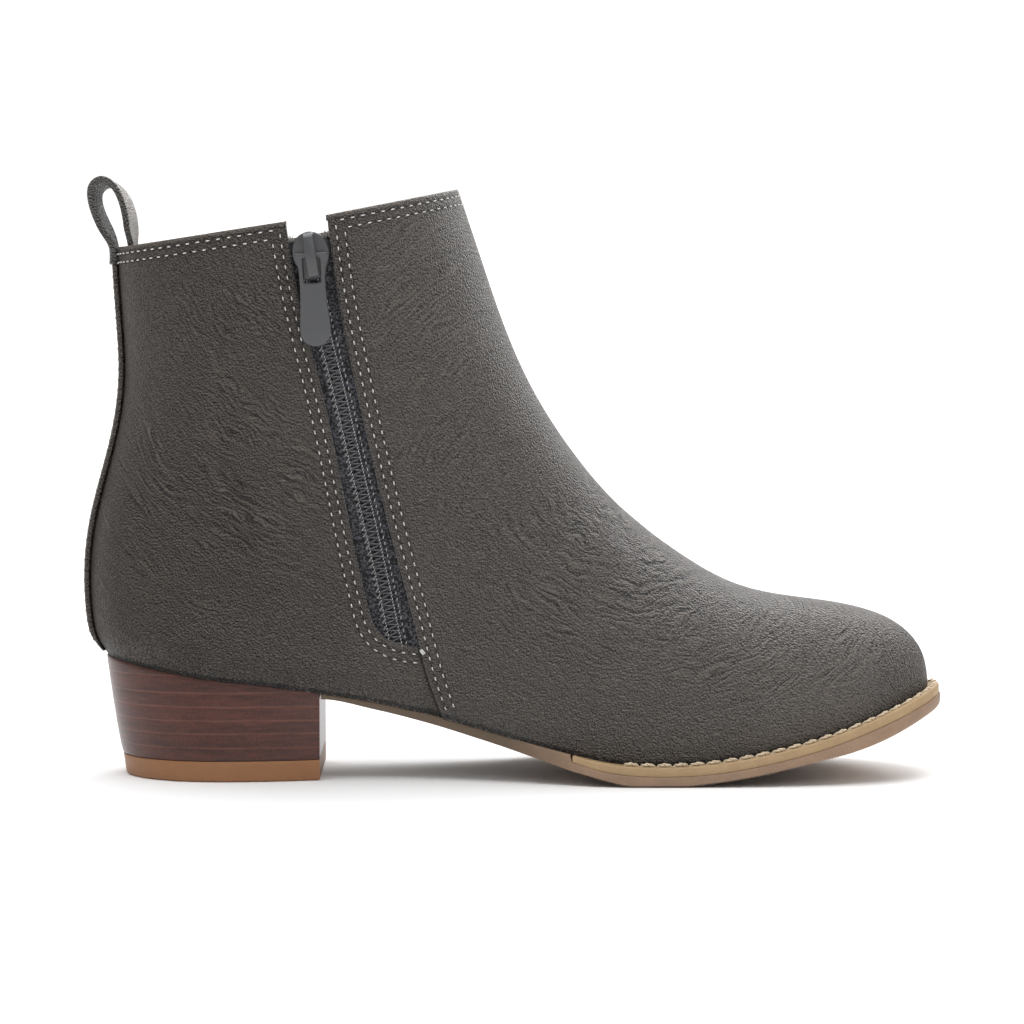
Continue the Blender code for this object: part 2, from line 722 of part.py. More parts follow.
def make_zip_tape(finish):
    """Woven tape behind the zip opening."""
    top_depth = WALL + GAP + 0.1
    low_depth = top_depth + TAPE_THICKNESS
    across = np.linspace(-1, 1, 5)
    depths = [(a, top_depth) for a in across] + [(a, low_depth) for a in reversed(across)]
    sections = [zip_section(share, TAPE_HALF_WIDTH, depths) for share in np.linspace(0, 1, 14)]
    return loft("zip_tape", sections, finish)


def make_zip_coil(finish):
    """Closed coil of the zip as one ridge along the tape."""
    depths = [(-1.0, 2.2), (-1.0, 1.3), (-0.72, 0.6), (0.0, 0.3), (0.72, 0.6), (1.0, 1.3), (1.0, 2.2),
              (0.0, 2.2)]
    sections = [zip_section(share, COIL_HALF_WIDTH, depths) for share in np.linspace(*COIL_SPAN, 20)]
    return loft("zip_coil", sections, finish)


def hinge_frame(lean, lift):
    """Frame at the tab's hinge: X across the zip, Y up along it, Z out of the leather."""
    point, normal = offset_skin(*HINGE_SIDE_VIEW, -lift)
    out = Vector(normal)
    up = Vector((-math.sin(lean), 0.0, math.cos(lean)))
    up = (up - out * up.dot(out)).normalized()
    across = up.cross(out)
    frame = Matrix((across, up, out)).transposed().to_4x4()
    frame.translation = Vector(point) * MM
    return frame


def mirrored(half):
    """Closed outline from the points of its right half, top to bottom."""
    return list(half) + [(-a, b) for a, b in reversed(half) if a > 0]


def arc(centre, radius, start, end, count):
    """Points of an arc, angles in degrees."""
    angles = [math.radians(start + (end - start) * i / count) for i in range(count + 1)]
    return [(centre[0] + radius * math.cos(a), centre[1] + radius * math.sin(a)) for a in angles]


def block(name, size, centre):
    """Box mesh in millimetres."""
    work = bmesh.new()
    bmesh.ops.create_cube(work, size=1.0)
    bmesh.ops.scale(work, verts=work.verts, vec=[s * MM for s in size])
    bmesh.ops.translate(work, verts=work.verts, vec=[c * MM for c in centre])
    mesh = bpy.data.meshes.new(name)
    work.to_mesh(mesh)
    work.free()
    return mesh


def make_zip_slider(finish):
    """Slider body with side flanges and the bridge that holds the tab."""
    frame = hinge_frame(SLIDER_LEAN, 0.0)
    crown = mirrored([(0.0, 7.2), (2.2, 6.7), (4.1, 5.2), (5.2, 2.9), (5.5, 0.4), (5.2, -1.4),
                      (4.0, -4.2), (3.4, -6.6), (2.6, -7.4), (0.0, -7.4)])
    mesh = plate("zip_slider", [crown], PLATE_HIGH - PLATE_LOW)
    mesh.transform(Matrix.Translation((0, 0, (PLATE_HIGH + PLATE_LOW) / 2 * MM)))
    mesh.materials.append(finish)
    slider = bpy.data.objects.new("zip_slider", mesh)
    slider.matrix_world = frame
    parts.objects.link(slider)
    for side in (-1, 1):
        flange = block("flange", (0.9, 5.4, 2.6), (side * 4.45, 0.2, -0.6))
        combine(slider, cutter("flange", flange, frame), "UNION", "MANIFOLD")
    outside = [(6.9, 1.2), (6.9, 3.6), (5.4, 5.2), (-5.2, 5.2), (-6.7, 3.9), (-6.7, 1.2)]
    inside = [(5.7, 1.2), (5.7, 3.3), (4.9, 4.1), (-4.7, 4.1), (-5.5, 3.4), (-5.5, 1.2)]
    bridge = plate("bridge", [outside + list(reversed(inside))], BRIDGE_WIDTH)
    onto_edge = Matrix(((0, 0, 1, 0), (1, 0, 0, 0), (0, 1, 0, 0), (0, 0, 0, 1)))
    bridge.transform(onto_edge)
    combine(slider, cutter("bridge", bridge, frame), "UNION", "MANIFOLD")
    return slider


def make_zip_pull(finish):
    """Pull tab, hung on the slider's bridge by the bar above its window."""
    frame = hinge_frame(TAB_LEAN, HINGE_LIFT)
    bar = BAR_HALF_HEIGHT
    outline = mirrored([(0.0, bar), (4.9, bar), (5.1, 0.0), (4.9, -0.9), (4.35, -2.2), (4.15, -4.0),
                        (4.1, -9.0), (4.3, -15.0), (4.65, -20.5), (4.65, -23.2)]
                       + arc((0.0, -23.0), 4.6, -14, -90, 4))
    window = mirrored([(0.0, -bar), (2.6, -bar), (2.6, -7.6), (2.0, -8.3), (0.0, -8.3)])
    mesh = plate("zip_pull", [outline, window], TAB_THICKNESS)
    mesh.materials.append(finish)
    pull = bpy.data.objects.new("zip_pull", mesh)
    pull.matrix_world = frame
    parts.objects.link(pull)
    return pull


for old in list(bpy.data.objects):
    bpy.data.objects.remove(old, do_unlink=True)
parts = bpy.data.collections.new("zip_ankle_boot")
cutters = bpy.data.collections.new("cutters")
for group in (parts, cutters):
    bpy.context.scene.collection.children.link(group)

leather = material("grey_leather", (0.090, 0.082, 0.075), 0.5)
strip_leather = material("dark_grey_leather", (0.045, 0.040, 0.036), 0.55)
tape_cloth = material("zip_tape_cloth", (0.030, 0.030, 0.036), 0.9)
coil_plastic = material("zip_coil_plastic", (0.040, 0.040, 0.046), 0.45)
enamel = material("grey_enamel", (0.115, 0.115, 0.115), 0.35, 0.4)
welt_rubber = material("tan_welt", (0.434, 0.296, 0.162), 0.6)
sole_rubber = material("tan_outsole", (0.287, 0.202, 0.138), 0.65)
heel_stack = material("stacked_heel", (0.095, 0.047, 0.036), 0.35)
tap_rubber = material("heel_tap_rubber", (0.246, 0.117, 0.056), 0.55)
insole_board = material("insole_board", (0.40, 0.32, 0.24), 0.8)

inner_face = make_upper(leather)
make_insole(inner_face, insole_board)
make_welt(welt_rubber)
make_outsole(sole_rubber)
make_heel(heel_stack)
make_heel_tap(tap_rubber)
make_back_strip(strip_leather)
make_pull_loop(leather)
make_zip_tape(tape_cloth)
make_zip_coil(coil_plastic)
make_zip_slider(enamel)
make_zip_pull(enamel)
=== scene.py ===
"""Looks of the zip ankle boot: leather panels, lining, zip, welt, outsole and stacked heel.

Sizes are in millimetres, in the boot's own frame: origin on the floor under the middle of the
heel, +X to the toe, +Z up, and the inner side with the zip towards -Y.
"""

import json
import math

import bmesh
import bpy
import numpy as np
from mathutils import Matrix, Vector
from mathutils.bvhtree import BVHTree

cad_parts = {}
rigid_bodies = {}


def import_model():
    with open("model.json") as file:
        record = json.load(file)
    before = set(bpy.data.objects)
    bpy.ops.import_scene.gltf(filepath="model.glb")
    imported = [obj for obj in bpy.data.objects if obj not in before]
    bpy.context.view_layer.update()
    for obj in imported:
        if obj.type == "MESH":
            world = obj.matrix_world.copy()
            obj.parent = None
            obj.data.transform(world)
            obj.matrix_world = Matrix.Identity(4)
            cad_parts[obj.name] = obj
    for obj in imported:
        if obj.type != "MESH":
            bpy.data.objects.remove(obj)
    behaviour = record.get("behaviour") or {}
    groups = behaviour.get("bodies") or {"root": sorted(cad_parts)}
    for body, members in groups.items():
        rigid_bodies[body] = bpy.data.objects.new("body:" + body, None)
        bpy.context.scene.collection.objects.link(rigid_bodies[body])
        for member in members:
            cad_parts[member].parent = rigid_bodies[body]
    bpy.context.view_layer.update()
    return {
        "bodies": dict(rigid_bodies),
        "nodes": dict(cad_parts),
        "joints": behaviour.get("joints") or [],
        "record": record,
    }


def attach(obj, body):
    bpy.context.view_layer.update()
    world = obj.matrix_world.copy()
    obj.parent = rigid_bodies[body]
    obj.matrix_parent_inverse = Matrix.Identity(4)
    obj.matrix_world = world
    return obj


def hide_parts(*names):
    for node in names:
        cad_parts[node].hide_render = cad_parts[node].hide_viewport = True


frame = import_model()

MM = 0.001
INNER, OUTER = -1, 1

# Sizes shared with the solids
WALL = 2.2
TOE_X = 219.2
TOE_SWING = -4.0
TOE_ROUND_X = 146.0
WELT_REACH = 4.2
WELT_TOE_REACH = 3.5
OUTSOLE_GROW = 0.5
OUTSOLE_TOE_GROW = 0.4
COLLAR_DIP = 6.0
WELT_START_X = 108.5
HEEL_BREAST_X = 31.0
TAP_HEIGHT = 6.2
GAP = 0.35

FRONT_LINE = [
    (219.2, 27.4), (217.6, 37.2), (211.2, 45.5), (199.0, 51.2), (180.0, 54.4), (161.0, 58.1),
    (142.3, 68.1), (123.6, 82.8), (108.0, 101.0), (95.5, 121.0), (84.7, 147.0), (79.7, 162.0),
    (73.2, 181.1)]
BACK_LINE = [
    (-35.8, 37.2), (-38.7, 42.0), (-40.6, 51.0), (-41.0, 63.0), (-39.2, 79.0), (-35.4, 94.0),
    (-31.8, 108.5), (-30.0, 124.0), (-30.6, 140.0), (-32.1, 163.2)]
SEAM_LINE = [
    (68.5, 19.6), (65.0, 29.5), (60.2, 48.0), (54.8, 69.0), (47.1, 101.0), (40.1, 134.0),
    (36.1, 157.0), (34.2, 173.5)]
SLOT_REAR_LINE = [
    (21.5, 172.0), (23.0, 162.0), (28.7, 134.8), (33.7, 114.0), (38.9, 88.0), (42.6, 69.0),
    (44.6, 59.9), (46.3, 52.5)]
SLOT_CORNER = (61.0, 41.3)
SLOT_BULGE = (48.0, 41.9)
ZIP_LINE = [
    (55.7, 39.2), (54.6, 44.6), (49.6, 68.8), (43.6, 95.7), (37.3, 123.5), (30.4, 153.0), (28.3, 166.2)]
# x, feather, ground
SOLE_LEVELS = [
    (-36.0, 37.2, 0.0), (-22.0, 34.8, 0.0), (-8.0, 32.4, 0.0), (10.0, 30.1, 0.0),
    (31.0, 27.2, 25.0), (48.0, 24.4, 21.7), (64.0, 20.9, 17.8), (80.0, 16.8, 13.2),
    (96.0, 12.5, 8.3), (108.0, 9.6, 4.5), (118.0, 7.5, 1.6), (127.0, 6.5, 0.0),
    (142.0, 6.4, 0.0), (153.0, 7.3, 1.1), (166.0, 9.5, 3.2), (178.0, 12.2, 5.8),
    (190.0, 15.7, 8.6), (204.0, 20.8, 12.8), (213.0, 24.5, 16.2), (224.0, 29.5, 21.0)]
# x, inner side, outer side, tuck
LOW_WIDTHS = [
    (-42.0, 31.0, 31.5, 4.0), (0.0, 31.0, 31.5, 4.0), (16.0, 29.6, 31.1, 3.8),
    (31.0, 27.6, 30.6, 3.4), (48.0, 26.0, 31.0, 3.0), (64.0, 27.0, 33.0, 2.6),
    (80.0, 29.8, 36.2, 2.2), (96.0, 33.2, 40.0, 2.0), (112.0, 36.2, 43.6, 1.8),
    (128.0, 38.0, 46.2, 1.6), (142.0, 37.8, 46.8, 1.6), (220.0, 37.8, 46.8, 1.2)]
SHAFT_WIDTHS = [(30.0, 31.0), (60.0, 31.8), (90.0, 32.4), (120.0, 33.2), (150.0, 34.4), (185.0, 35.4)]
# angle of the ray in degrees, depth at which the full width is reached
FRONT_ROUNDING = [(0.0, 40.0), (15.0, 49.0), (30.0, 60.0), (45.0, 62.0), (60.0, 56.0), (75.0, 49.0),
                  (90.0, 45.0)]
INSTEP_POINT = (180.0, 190.0)
BACK_ROUNDING = 35.0
TUCK_HEIGHT = 11.0
HEEL_WIDTHS = [(-32.0, 28.3, 28.6), (0.0, 28.3, 28.6), (16.0, 26.8, 28.0), (31.0, 23.4, 27.0)]
HEEL_FLOOR_BACK = -31.0
HEEL_FLOOR_ROUNDING = 30.0
WELT_HEIGHTS = [(108.0, 1.9), (120.0, 2.7), (140.0, 2.9), (190.0, 3.0), (210.0, 3.2), (224.0, 3.4)]
SOLE_JOINT = 0.06
LOOP_LINE = [
    (-33.5, 158.0), (-33.6, 163.0), (-34.9, 167.0), (-37.2, 172.0), (-38.9, 177.5), (-38.5, 181.3),
    (-35.8, 183.2), (-32.3, 181.6), (-29.7, 177.6), (-28.1, 171.5), (-27.7, 166.0), (-27.8, 160.0),
    (-27.5, 152.0)]
LOOP_TWIST = 0.15
LOOP_SLANT = 0.16
LOOP_WIDTH = 13.0
LOOP_THICKNESS = 2.1

# Leather and thread
LINING_DEPTH = 1.9
LINING = 0.3
PANEL_STEP = 1.0
EDGE_RADIUS = 0.7
NEAR_ROW, FAR_ROW = 2.2, 4.8
STITCH_PITCH = 3.2
THREAD_RADIUS = 0.21


def cubic(rows, column=1):
    """Natural cubic spline through one column of a table, as a function of its first column."""
    x = np.array([row[0] for row in rows], float)
    y = np.array([row[column] for row in rows], float)
    step = np.diff(x)
    slope = np.diff(y) / step
    count = len(x)
    matrix = np.eye(count)
    right = np.zeros(count)
    for i in range(1, count - 1):
        matrix[i, i - 1:i + 2] = step[i - 1], 2 * (step[i - 1] + step[i]), step[i]
        right[i] = 6 * (slope[i] - slope[i - 1])
    bend = np.linalg.solve(matrix, right)

    def value(at):
        at = np.asarray(at, float)
        i = np.clip(np.searchsorted(x, at) - 1, 0, count - 2)
        a = (x[i + 1] - at) / step[i]
        b = (at - x[i]) / step[i]
        curve = ((a ** 3 - a) * bend[i] + (b ** 3 - b) * bend[i + 1]) * step[i] ** 2 / 6
        return a * y[i] + b * y[i + 1] + curve

    return value


def monotone(rows, column=1):
    """Monotone cubic through one column of a table, as a function of its first column."""
    x = np.array([row[0] for row in rows], float)
    y = np.array([row[column] for row in rows], float)
    step = np.diff(x)
    slope = np.diff(y) / step
    tangent = np.zeros(len(x))
    tangent[0], tangent[-1] = slope[0], slope[-1]
    for i in range(1, len(x) - 1):
        if slope[i - 1] * slope[i] > 0:
            w1 = 2 * step[i] + step[i - 1]
            w2 = step[i] + 2 * step[i - 1]
            tangent[i] = (w1 + w2) / (w1 / slope[i - 1] + w2 / slope[i])

    def value(at):
        at = np.clip(np.asarray(at, float), x[0], x[-1])
        i = np.clip(np.searchsorted(x, at) - 1, 0, len(x) - 2)
        t = (at - x[i]) / step[i]
        rise = y[i] * (1 + 2 * t) * (1 - t) ** 2 + y[i + 1] * t * t * (3 - 2 * t)
        return rise + step[i] * (tangent[i] * t * (1 - t) ** 2 + tangent[i + 1] * t * t * (t - 1))

    return value


def unit(vectors):
    """Vectors brought to length one."""
    return vectors / np.maximum(np.linalg.norm(vectors, axis=-1, keepdims=True), 1e-9)


class Line:
    """Smooth curve in the side view, read by its share of the length."""

    SAMPLES = 400

    def __init__(self, points):
        points = np.array(points, float)
        chord = np.concatenate([[0], np.cumsum(np.hypot(*np.diff(points, axis=0).T))])
        places = np.linspace(0, chord[-1], self.SAMPLES)
        self.x = cubic(list(zip(chord, points[:, 0])))(places)
        self.z = cubic(list(zip(chord, points[:, 1])))(places)
        length = np.concatenate([[0], np.cumsum(np.hypot(np.diff(self.x), np.diff(self.z)))])
        self.length = length[-1]
        self.share = length / length[-1]
        self.by_z = np.argsort(self.z)
        self.by_x = np.argsort(self.x)

    def at(self, share):
        x = np.interp(share, self.share, self.x)
        z = np.interp(share, self.share, self.z)
        return np.stack([x, z], axis=-1)

    def x_at_z(self, z):
        return np.interp(z, self.z[self.by_z], self.x[self.by_z])

    def z_at_x(self, x):
        return np.interp(x, self.x[self.by_x], self.z[self.by_x])


def smoothstep(low, high, value):
    t = np.clip((np.asarray(value, float) - low) / (high - low), 0.0, 1.0)
    return t * t * (3 - 2 * t)


def round_end(share):
    """Quarter ellipse from 0 at the end of a section to 1 at its full width."""
    return np.sqrt(1 - (1 - np.clip(share, 0.0, 1.0)) ** 2)


front = Line(FRONT_LINE)
back = Line(BACK_LINE)
seam = Line(SEAM_LINE)
slot_rear = Line(SLOT_REAR_LINE)
zip_middle = Line(ZIP_LINE)
feather = cubic(SOLE_LEVELS)
ground = monotone(SOLE_LEVELS, 2)
inner_width = monotone(LOW_WIDTHS, 1)
outer_width = monotone(LOW_WIDTHS, 2)
tuck = monotone(LOW_WIDTHS, 3)
shaft_width = monotone(SHAFT_WIDTHS)
front_rounding = monotone(FRONT_ROUNDING)
heel_inner = monotone(HEEL_WIDTHS, 1)
heel_outer = monotone(HEEL_WIDTHS, 2)
welt_height = monotone(WELT_HEIGHTS)
SEAM_SHARE = (SEAM_LINE[-1][0] - BACK_LINE[-1][0]) / (FRONT_LINE[-1][0] - BACK_LINE[-1][0])

ray_x = front.x - INSTEP_POINT[0]
ray_z = INSTEP_POINT[1] - front.z
ray_angle = np.degrees(np.arctan2(-ray_x, ray_z))
ray_length = np.hypot(ray_x, ray_z)


def low_width(x, side):
    return np.where(np.asarray(side) < 0, inner_width(x), outer_width(x))


def toe_round(x, tip=TOE_X):
    """Share of the full width left at x, down to 0 at the toe tip."""
    share = np.clip((np.asarray(x, float) - TOE_ROUND_X) / (tip - TOE_ROUND_X), 0.0, 1.0)
    return (1 - share ** 2) ** 0.526


def ridge(x):
    """Sideways place of the toe's centre line, which swings to the inner side."""
    return TOE_SWING * smoothstep(150.0, 232.0, x) / smoothstep(150.0, 232.0, TOE_X)


def front_share(x, z):
    """How far a point is behind the front line, as a share of the front's rounding."""
    top = front.z_at_x(x)
    over_toe = (top - z) / np.maximum((top - feather(x)) * 0.94, 0.1)
    angle = np.degrees(np.arctan2(INSTEP_POINT[0] - x, INSTEP_POINT[1] - z))
    edge = np.interp(angle, ray_angle, ray_length)
    depth = np.hypot(x - INSTEP_POINT[0], z - INSTEP_POINT[1]) - edge
    return np.where(x >= INSTEP_POINT[0], over_toe, depth / front_rounding(angle))


def skin(x, z, side):
    """Sideways place of the upper's outer face at a point of the side view."""
    x, z = np.asarray(x, float), np.asarray(z, float)
    low = low_width(x, side) * toe_round(x)
    width = low + (shaft_width(z) - low) * smoothstep(40.0, 118.0, z) * smoothstep(185.0, 130.0, x)
    height = np.maximum(z - feather(x), 0.0)
    width = width - tuck(x) * np.maximum(1 - height / TUCK_HEIGHT, 0.0) ** 2 * toe_round(x)
    width = width * round_end((x - back.x_at_z(z)) / BACK_ROUNDING) * round_end(front_share(x, z))
    return ridge(x) + side * width


def on_skin(x, z, depth):
    """Points of the inner side at a depth under the upper's outer face, and the outward normals."""
    x, z = np.broadcast_arrays(np.asarray(x, float), np.asarray(z, float))
    step = 0.5
    slope_x = (skin(x + step, z, INNER) - skin(x - step, z, INNER)) / (2 * step)
    slope_z = (skin(x, z + step, INNER) - skin(x, z - step, INNER)) / (2 * step)
    normal = INNER * unit(np.stack([-slope_x, np.ones_like(x), -slope_z], axis=-1))
    point = np.stack([x, skin(x, z, INNER), z], axis=-1)
    return point - normal * np.asarray(depth)[..., None], normal


def collar(share, side):
    """Collar edge in the side view, lower on the outer side."""
    share = np.asarray(share, float)
    ends = [BACK_LINE[-1], SEAM_LINE[-1], FRONT_LINE[-1]]
    x = np.interp(share, [0, SEAM_SHARE, 1], [end[0] for end in ends])
    z = np.interp(share, [0, SEAM_SHARE, 1], [end[1] for end in ends])
    dip = COLLAR_DIP * np.sin(np.pi * share)
    return np.stack([x, z - np.where(np.asarray(side) > 0, dip, 0.0)], axis=-1)


def patch(share, level, left, right, low_ends, top_ends, side):
    """Side-view grid points of one panel, blended from its four edges."""
    def low(part):
        x = low_ends[0] + (low_ends[1] - low_ends[0]) * np.asarray(part, float)
        return np.stack([x, feather(x)], axis=-1)

    def top(part):
        return collar(top_ends[0] + (top_ends[1] - top_ends[0]) * np.asarray(part, float), side)

    s, t = share[..., None], level[..., None]
    across = (1 - s) * left(level) + s * right(level)
    along = (1 - t) * low(share) + t * top(share)
    corners = (1 - s) * (1 - t) * low(0) + s * (1 - t) * low(1) + (1 - s) * t * top(0) + s * t * top(1)
    return across + along - corners


def side_edge(line, dip_share, side):
    """Edge of a panel, shortened at the top by the outer side's lower collar."""
    drop = COLLAR_DIP * math.sin(math.pi * dip_share) if side == OUTER else 0.0
    return lambda level: line.at(level ** 1.2) - np.stack([0 * level, drop * level], axis=-1)


def quarter_place(share, level, side):
    """Side-view place on the quarter: share 0 is the back seam, 1 the side seam."""
    return patch(share, level, side_edge(back, 0.0, side), side_edge(seam, SEAM_SHARE, side),
                 (BACK_LINE[0][0], SEAM_LINE[0][0]), (0.0, SEAM_SHARE), side)


def front_place(share, level, side):
    """Side-view place on the front panel: share 0 is the side seam, 1 the front ridge."""
    return patch(share, level, side_edge(seam, SEAM_SHARE, side), lambda t: front.at(t ** 1.35),
                 (SEAM_LINE[0][0], TOE_X), (SEAM_SHARE, 1.0), side)


def slot_outline(extra=0.0):
    """Side-view outline of the zip opening from the collar down its rear edge to the front panel."""
    rear = slot_rear.at(np.linspace(0, 1, 40))
    start, bulge, end = rear[-1], np.array(SLOT_BULGE), np.array(SLOT_CORNER)
    t = np.linspace(0, 1, 14)[1:, None]
    corner = (1 - t) ** 2 * start + 2 * t * (1 - t) * bulge + t * t * end
    run_out = (rear[0] - rear[1]) / np.linalg.norm(rear[0] - rear[1])
    line = np.vstack([rear[0] + run_out * 15.0, rear, corner, end + np.array([8.0, -0.1])])
    ahead = np.gradient(line, axis=0)
    outward = np.stack([ahead[:, 1], -ahead[:, 0]], axis=1)
    outward /= np.linalg.norm(outward, axis=1, keepdims=True)
    return line + outward * extra


def distance_to_line(points, line):
    """Distance of side-view points to a polyline, positive on its right-hand side."""
    nearest = np.full(len(points), 1e9)
    signed = np.zeros(len(points))
    for a, b in zip(line, line[1:]):
        run = b - a
        t = np.clip(((points - a) @ run) / (run @ run), 0, 1)
        gap = points - a - t[:, None] * run
        distance = np.hypot(gap[:, 0], gap[:, 1])
        turn = run[0] * gap[:, 1] - run[1] * gap[:, 0]
        closer = distance < nearest - 1e-9
        nearest = np.where(closer, distance, nearest)
        signed = np.where(closer, np.where(turn <= 0, distance, -distance), signed)
    return signed


def collar_distance(points, side):
    """How far side-view points lie below the collar edge."""
    ends = np.array([BACK_LINE[-1], SEAM_LINE[-1], FRONT_LINE[-1]])
    share = (points[:, 0] - ends[0, 0]) / (ends[2, 0] - ends[0, 0])
    edge = collar(np.clip(share, 0, 1), side)[:, 1]
    lean = np.where(share < SEAM_SHARE, (ends[1, 1] - ends[0, 1]) / (ends[1, 0] - ends[0, 0]),
                    (ends[2, 1] - ends[1, 1]) / (ends[2, 0] - ends[1, 0]))
    return (edge - points[:, 1]) * np.cos(np.arctan(lean))


# Node helpers

def material(name, colour, roughness, metallic=0.0, **uniform):
    """Principled material; uniform sets further shader sockets by name."""
    made = bpy.data.materials.new(name)
    made.use_nodes = True
    shader = made.node_tree.nodes["Principled BSDF"]
    shader.inputs["Base Color"].default_value = (*colour, 1.0)
    shader.inputs["Roughness"].default_value = roughness
    shader.inputs["Metallic"].default_value = metallic
    for socket, value in uniform.items():
        shader.inputs[socket.replace("_", " ")].default_value = value
    return made


class Nodes:
    """Short way to write a material's node tree."""

    def __init__(self, made):
        self.tree = made.node_tree
        self.shader = self.tree.nodes["Principled BSDF"]
        self.space = self.add("ShaderNodeTexCoord").outputs["Object"]

    def add(self, kind, inputs=None, **settings):
        node = self.tree.nodes.new(kind)
        for name, value in settings.items():
            setattr(node, name, value)
        for name, value in (inputs or {}).items():
            self.put(node.inputs[name], value)
        return node

    def put(self, socket, value):
        if isinstance(value, bpy.types.NodeSocket):
            self.tree.links.new(value, socket)
        else:
            socket.default_value = value

    def math(self, operation, a, b=0.0):
        return self.add("ShaderNodeMath", {0: a, 1: b}, operation=operation).outputs[0]

    def scaled(self, x, y, z, source=None):
        inputs = {"Vector": source or self.space, "Scale": (x, y, z)}
        return self.add("ShaderNodeMapping", inputs).outputs[0]

    def moved(self, offset, source=None):
        inputs = {0: source or self.space, 1: offset}
        return self.add("ShaderNodeVectorMath", inputs, operation="ADD").outputs[0]

    def lit_from_above(self, here, above):
        """Light and dark flanks of a pattern from its values here and a little above."""
        return self.math("SUBTRACT", here, above)

    def noise(self, scale, detail=2.0, rough=0.5, source=None, distortion=0.0):
        inputs = {"Vector": source or self.space, "Scale": scale, "Detail": detail, "Roughness": rough,
                  "Distortion": distortion}
        return self.add("ShaderNodeTexNoise", inputs).outputs["Fac"]

    def ramp(self, value, low, high, to_low=0.0, to_high=1.0):
        inputs = {"Value": value, "From Min": low, "From Max": high, "To Min": to_low, "To Max": to_high}
        return self.add("ShaderNodeMapRange", inputs, clamp=True).outputs["Result"]

    def blend(self, share, first, second):
        node = self.add("ShaderNodeMix", data_type="RGBA")
        for index, value in ((0, share), (6, first), (7, second)):
            if isinstance(value, tuple):
                value = (*value, 1.0)
            self.put(node.inputs[index], value)
        return node.outputs[2]

    def attribute(self, name):
        return self.add("ShaderNodeAttribute", attribute_name=name).outputs

    def axis(self, name, source=None):
        return self.add("ShaderNodeSeparateXYZ", {"Vector": source or self.space}).outputs[name]

    def bump(self, height, distance, strength=1.0):
        inputs = {"Height": height, "Distance": distance, "Strength": strength}
        return self.add("ShaderNodeBump", inputs).outputs["Normal"]

    def finish(self, colour=None, roughness=None, normal=None):
        for name, value in (("Base Color", colour), ("Roughness", roughness), ("Normal", normal)):
            if value is not None:
                self.put(self.shader.inputs[name], value)


GRAIN_SCALE = 1850.0
# Step upwards from a point to the one whose value is taken from it, for the painted light and dark flanks of
# the grain and the wrinkles
GRAIN_STEP = (0.0001, 0.0, 0.00023)
WRINKLE_STEP = (0.0, -0.38, 0.0)
LONG_WAVES, SHORT_WAVES = (0.15, 0.92, 0.0), (0.32, 1.4, 0.0)


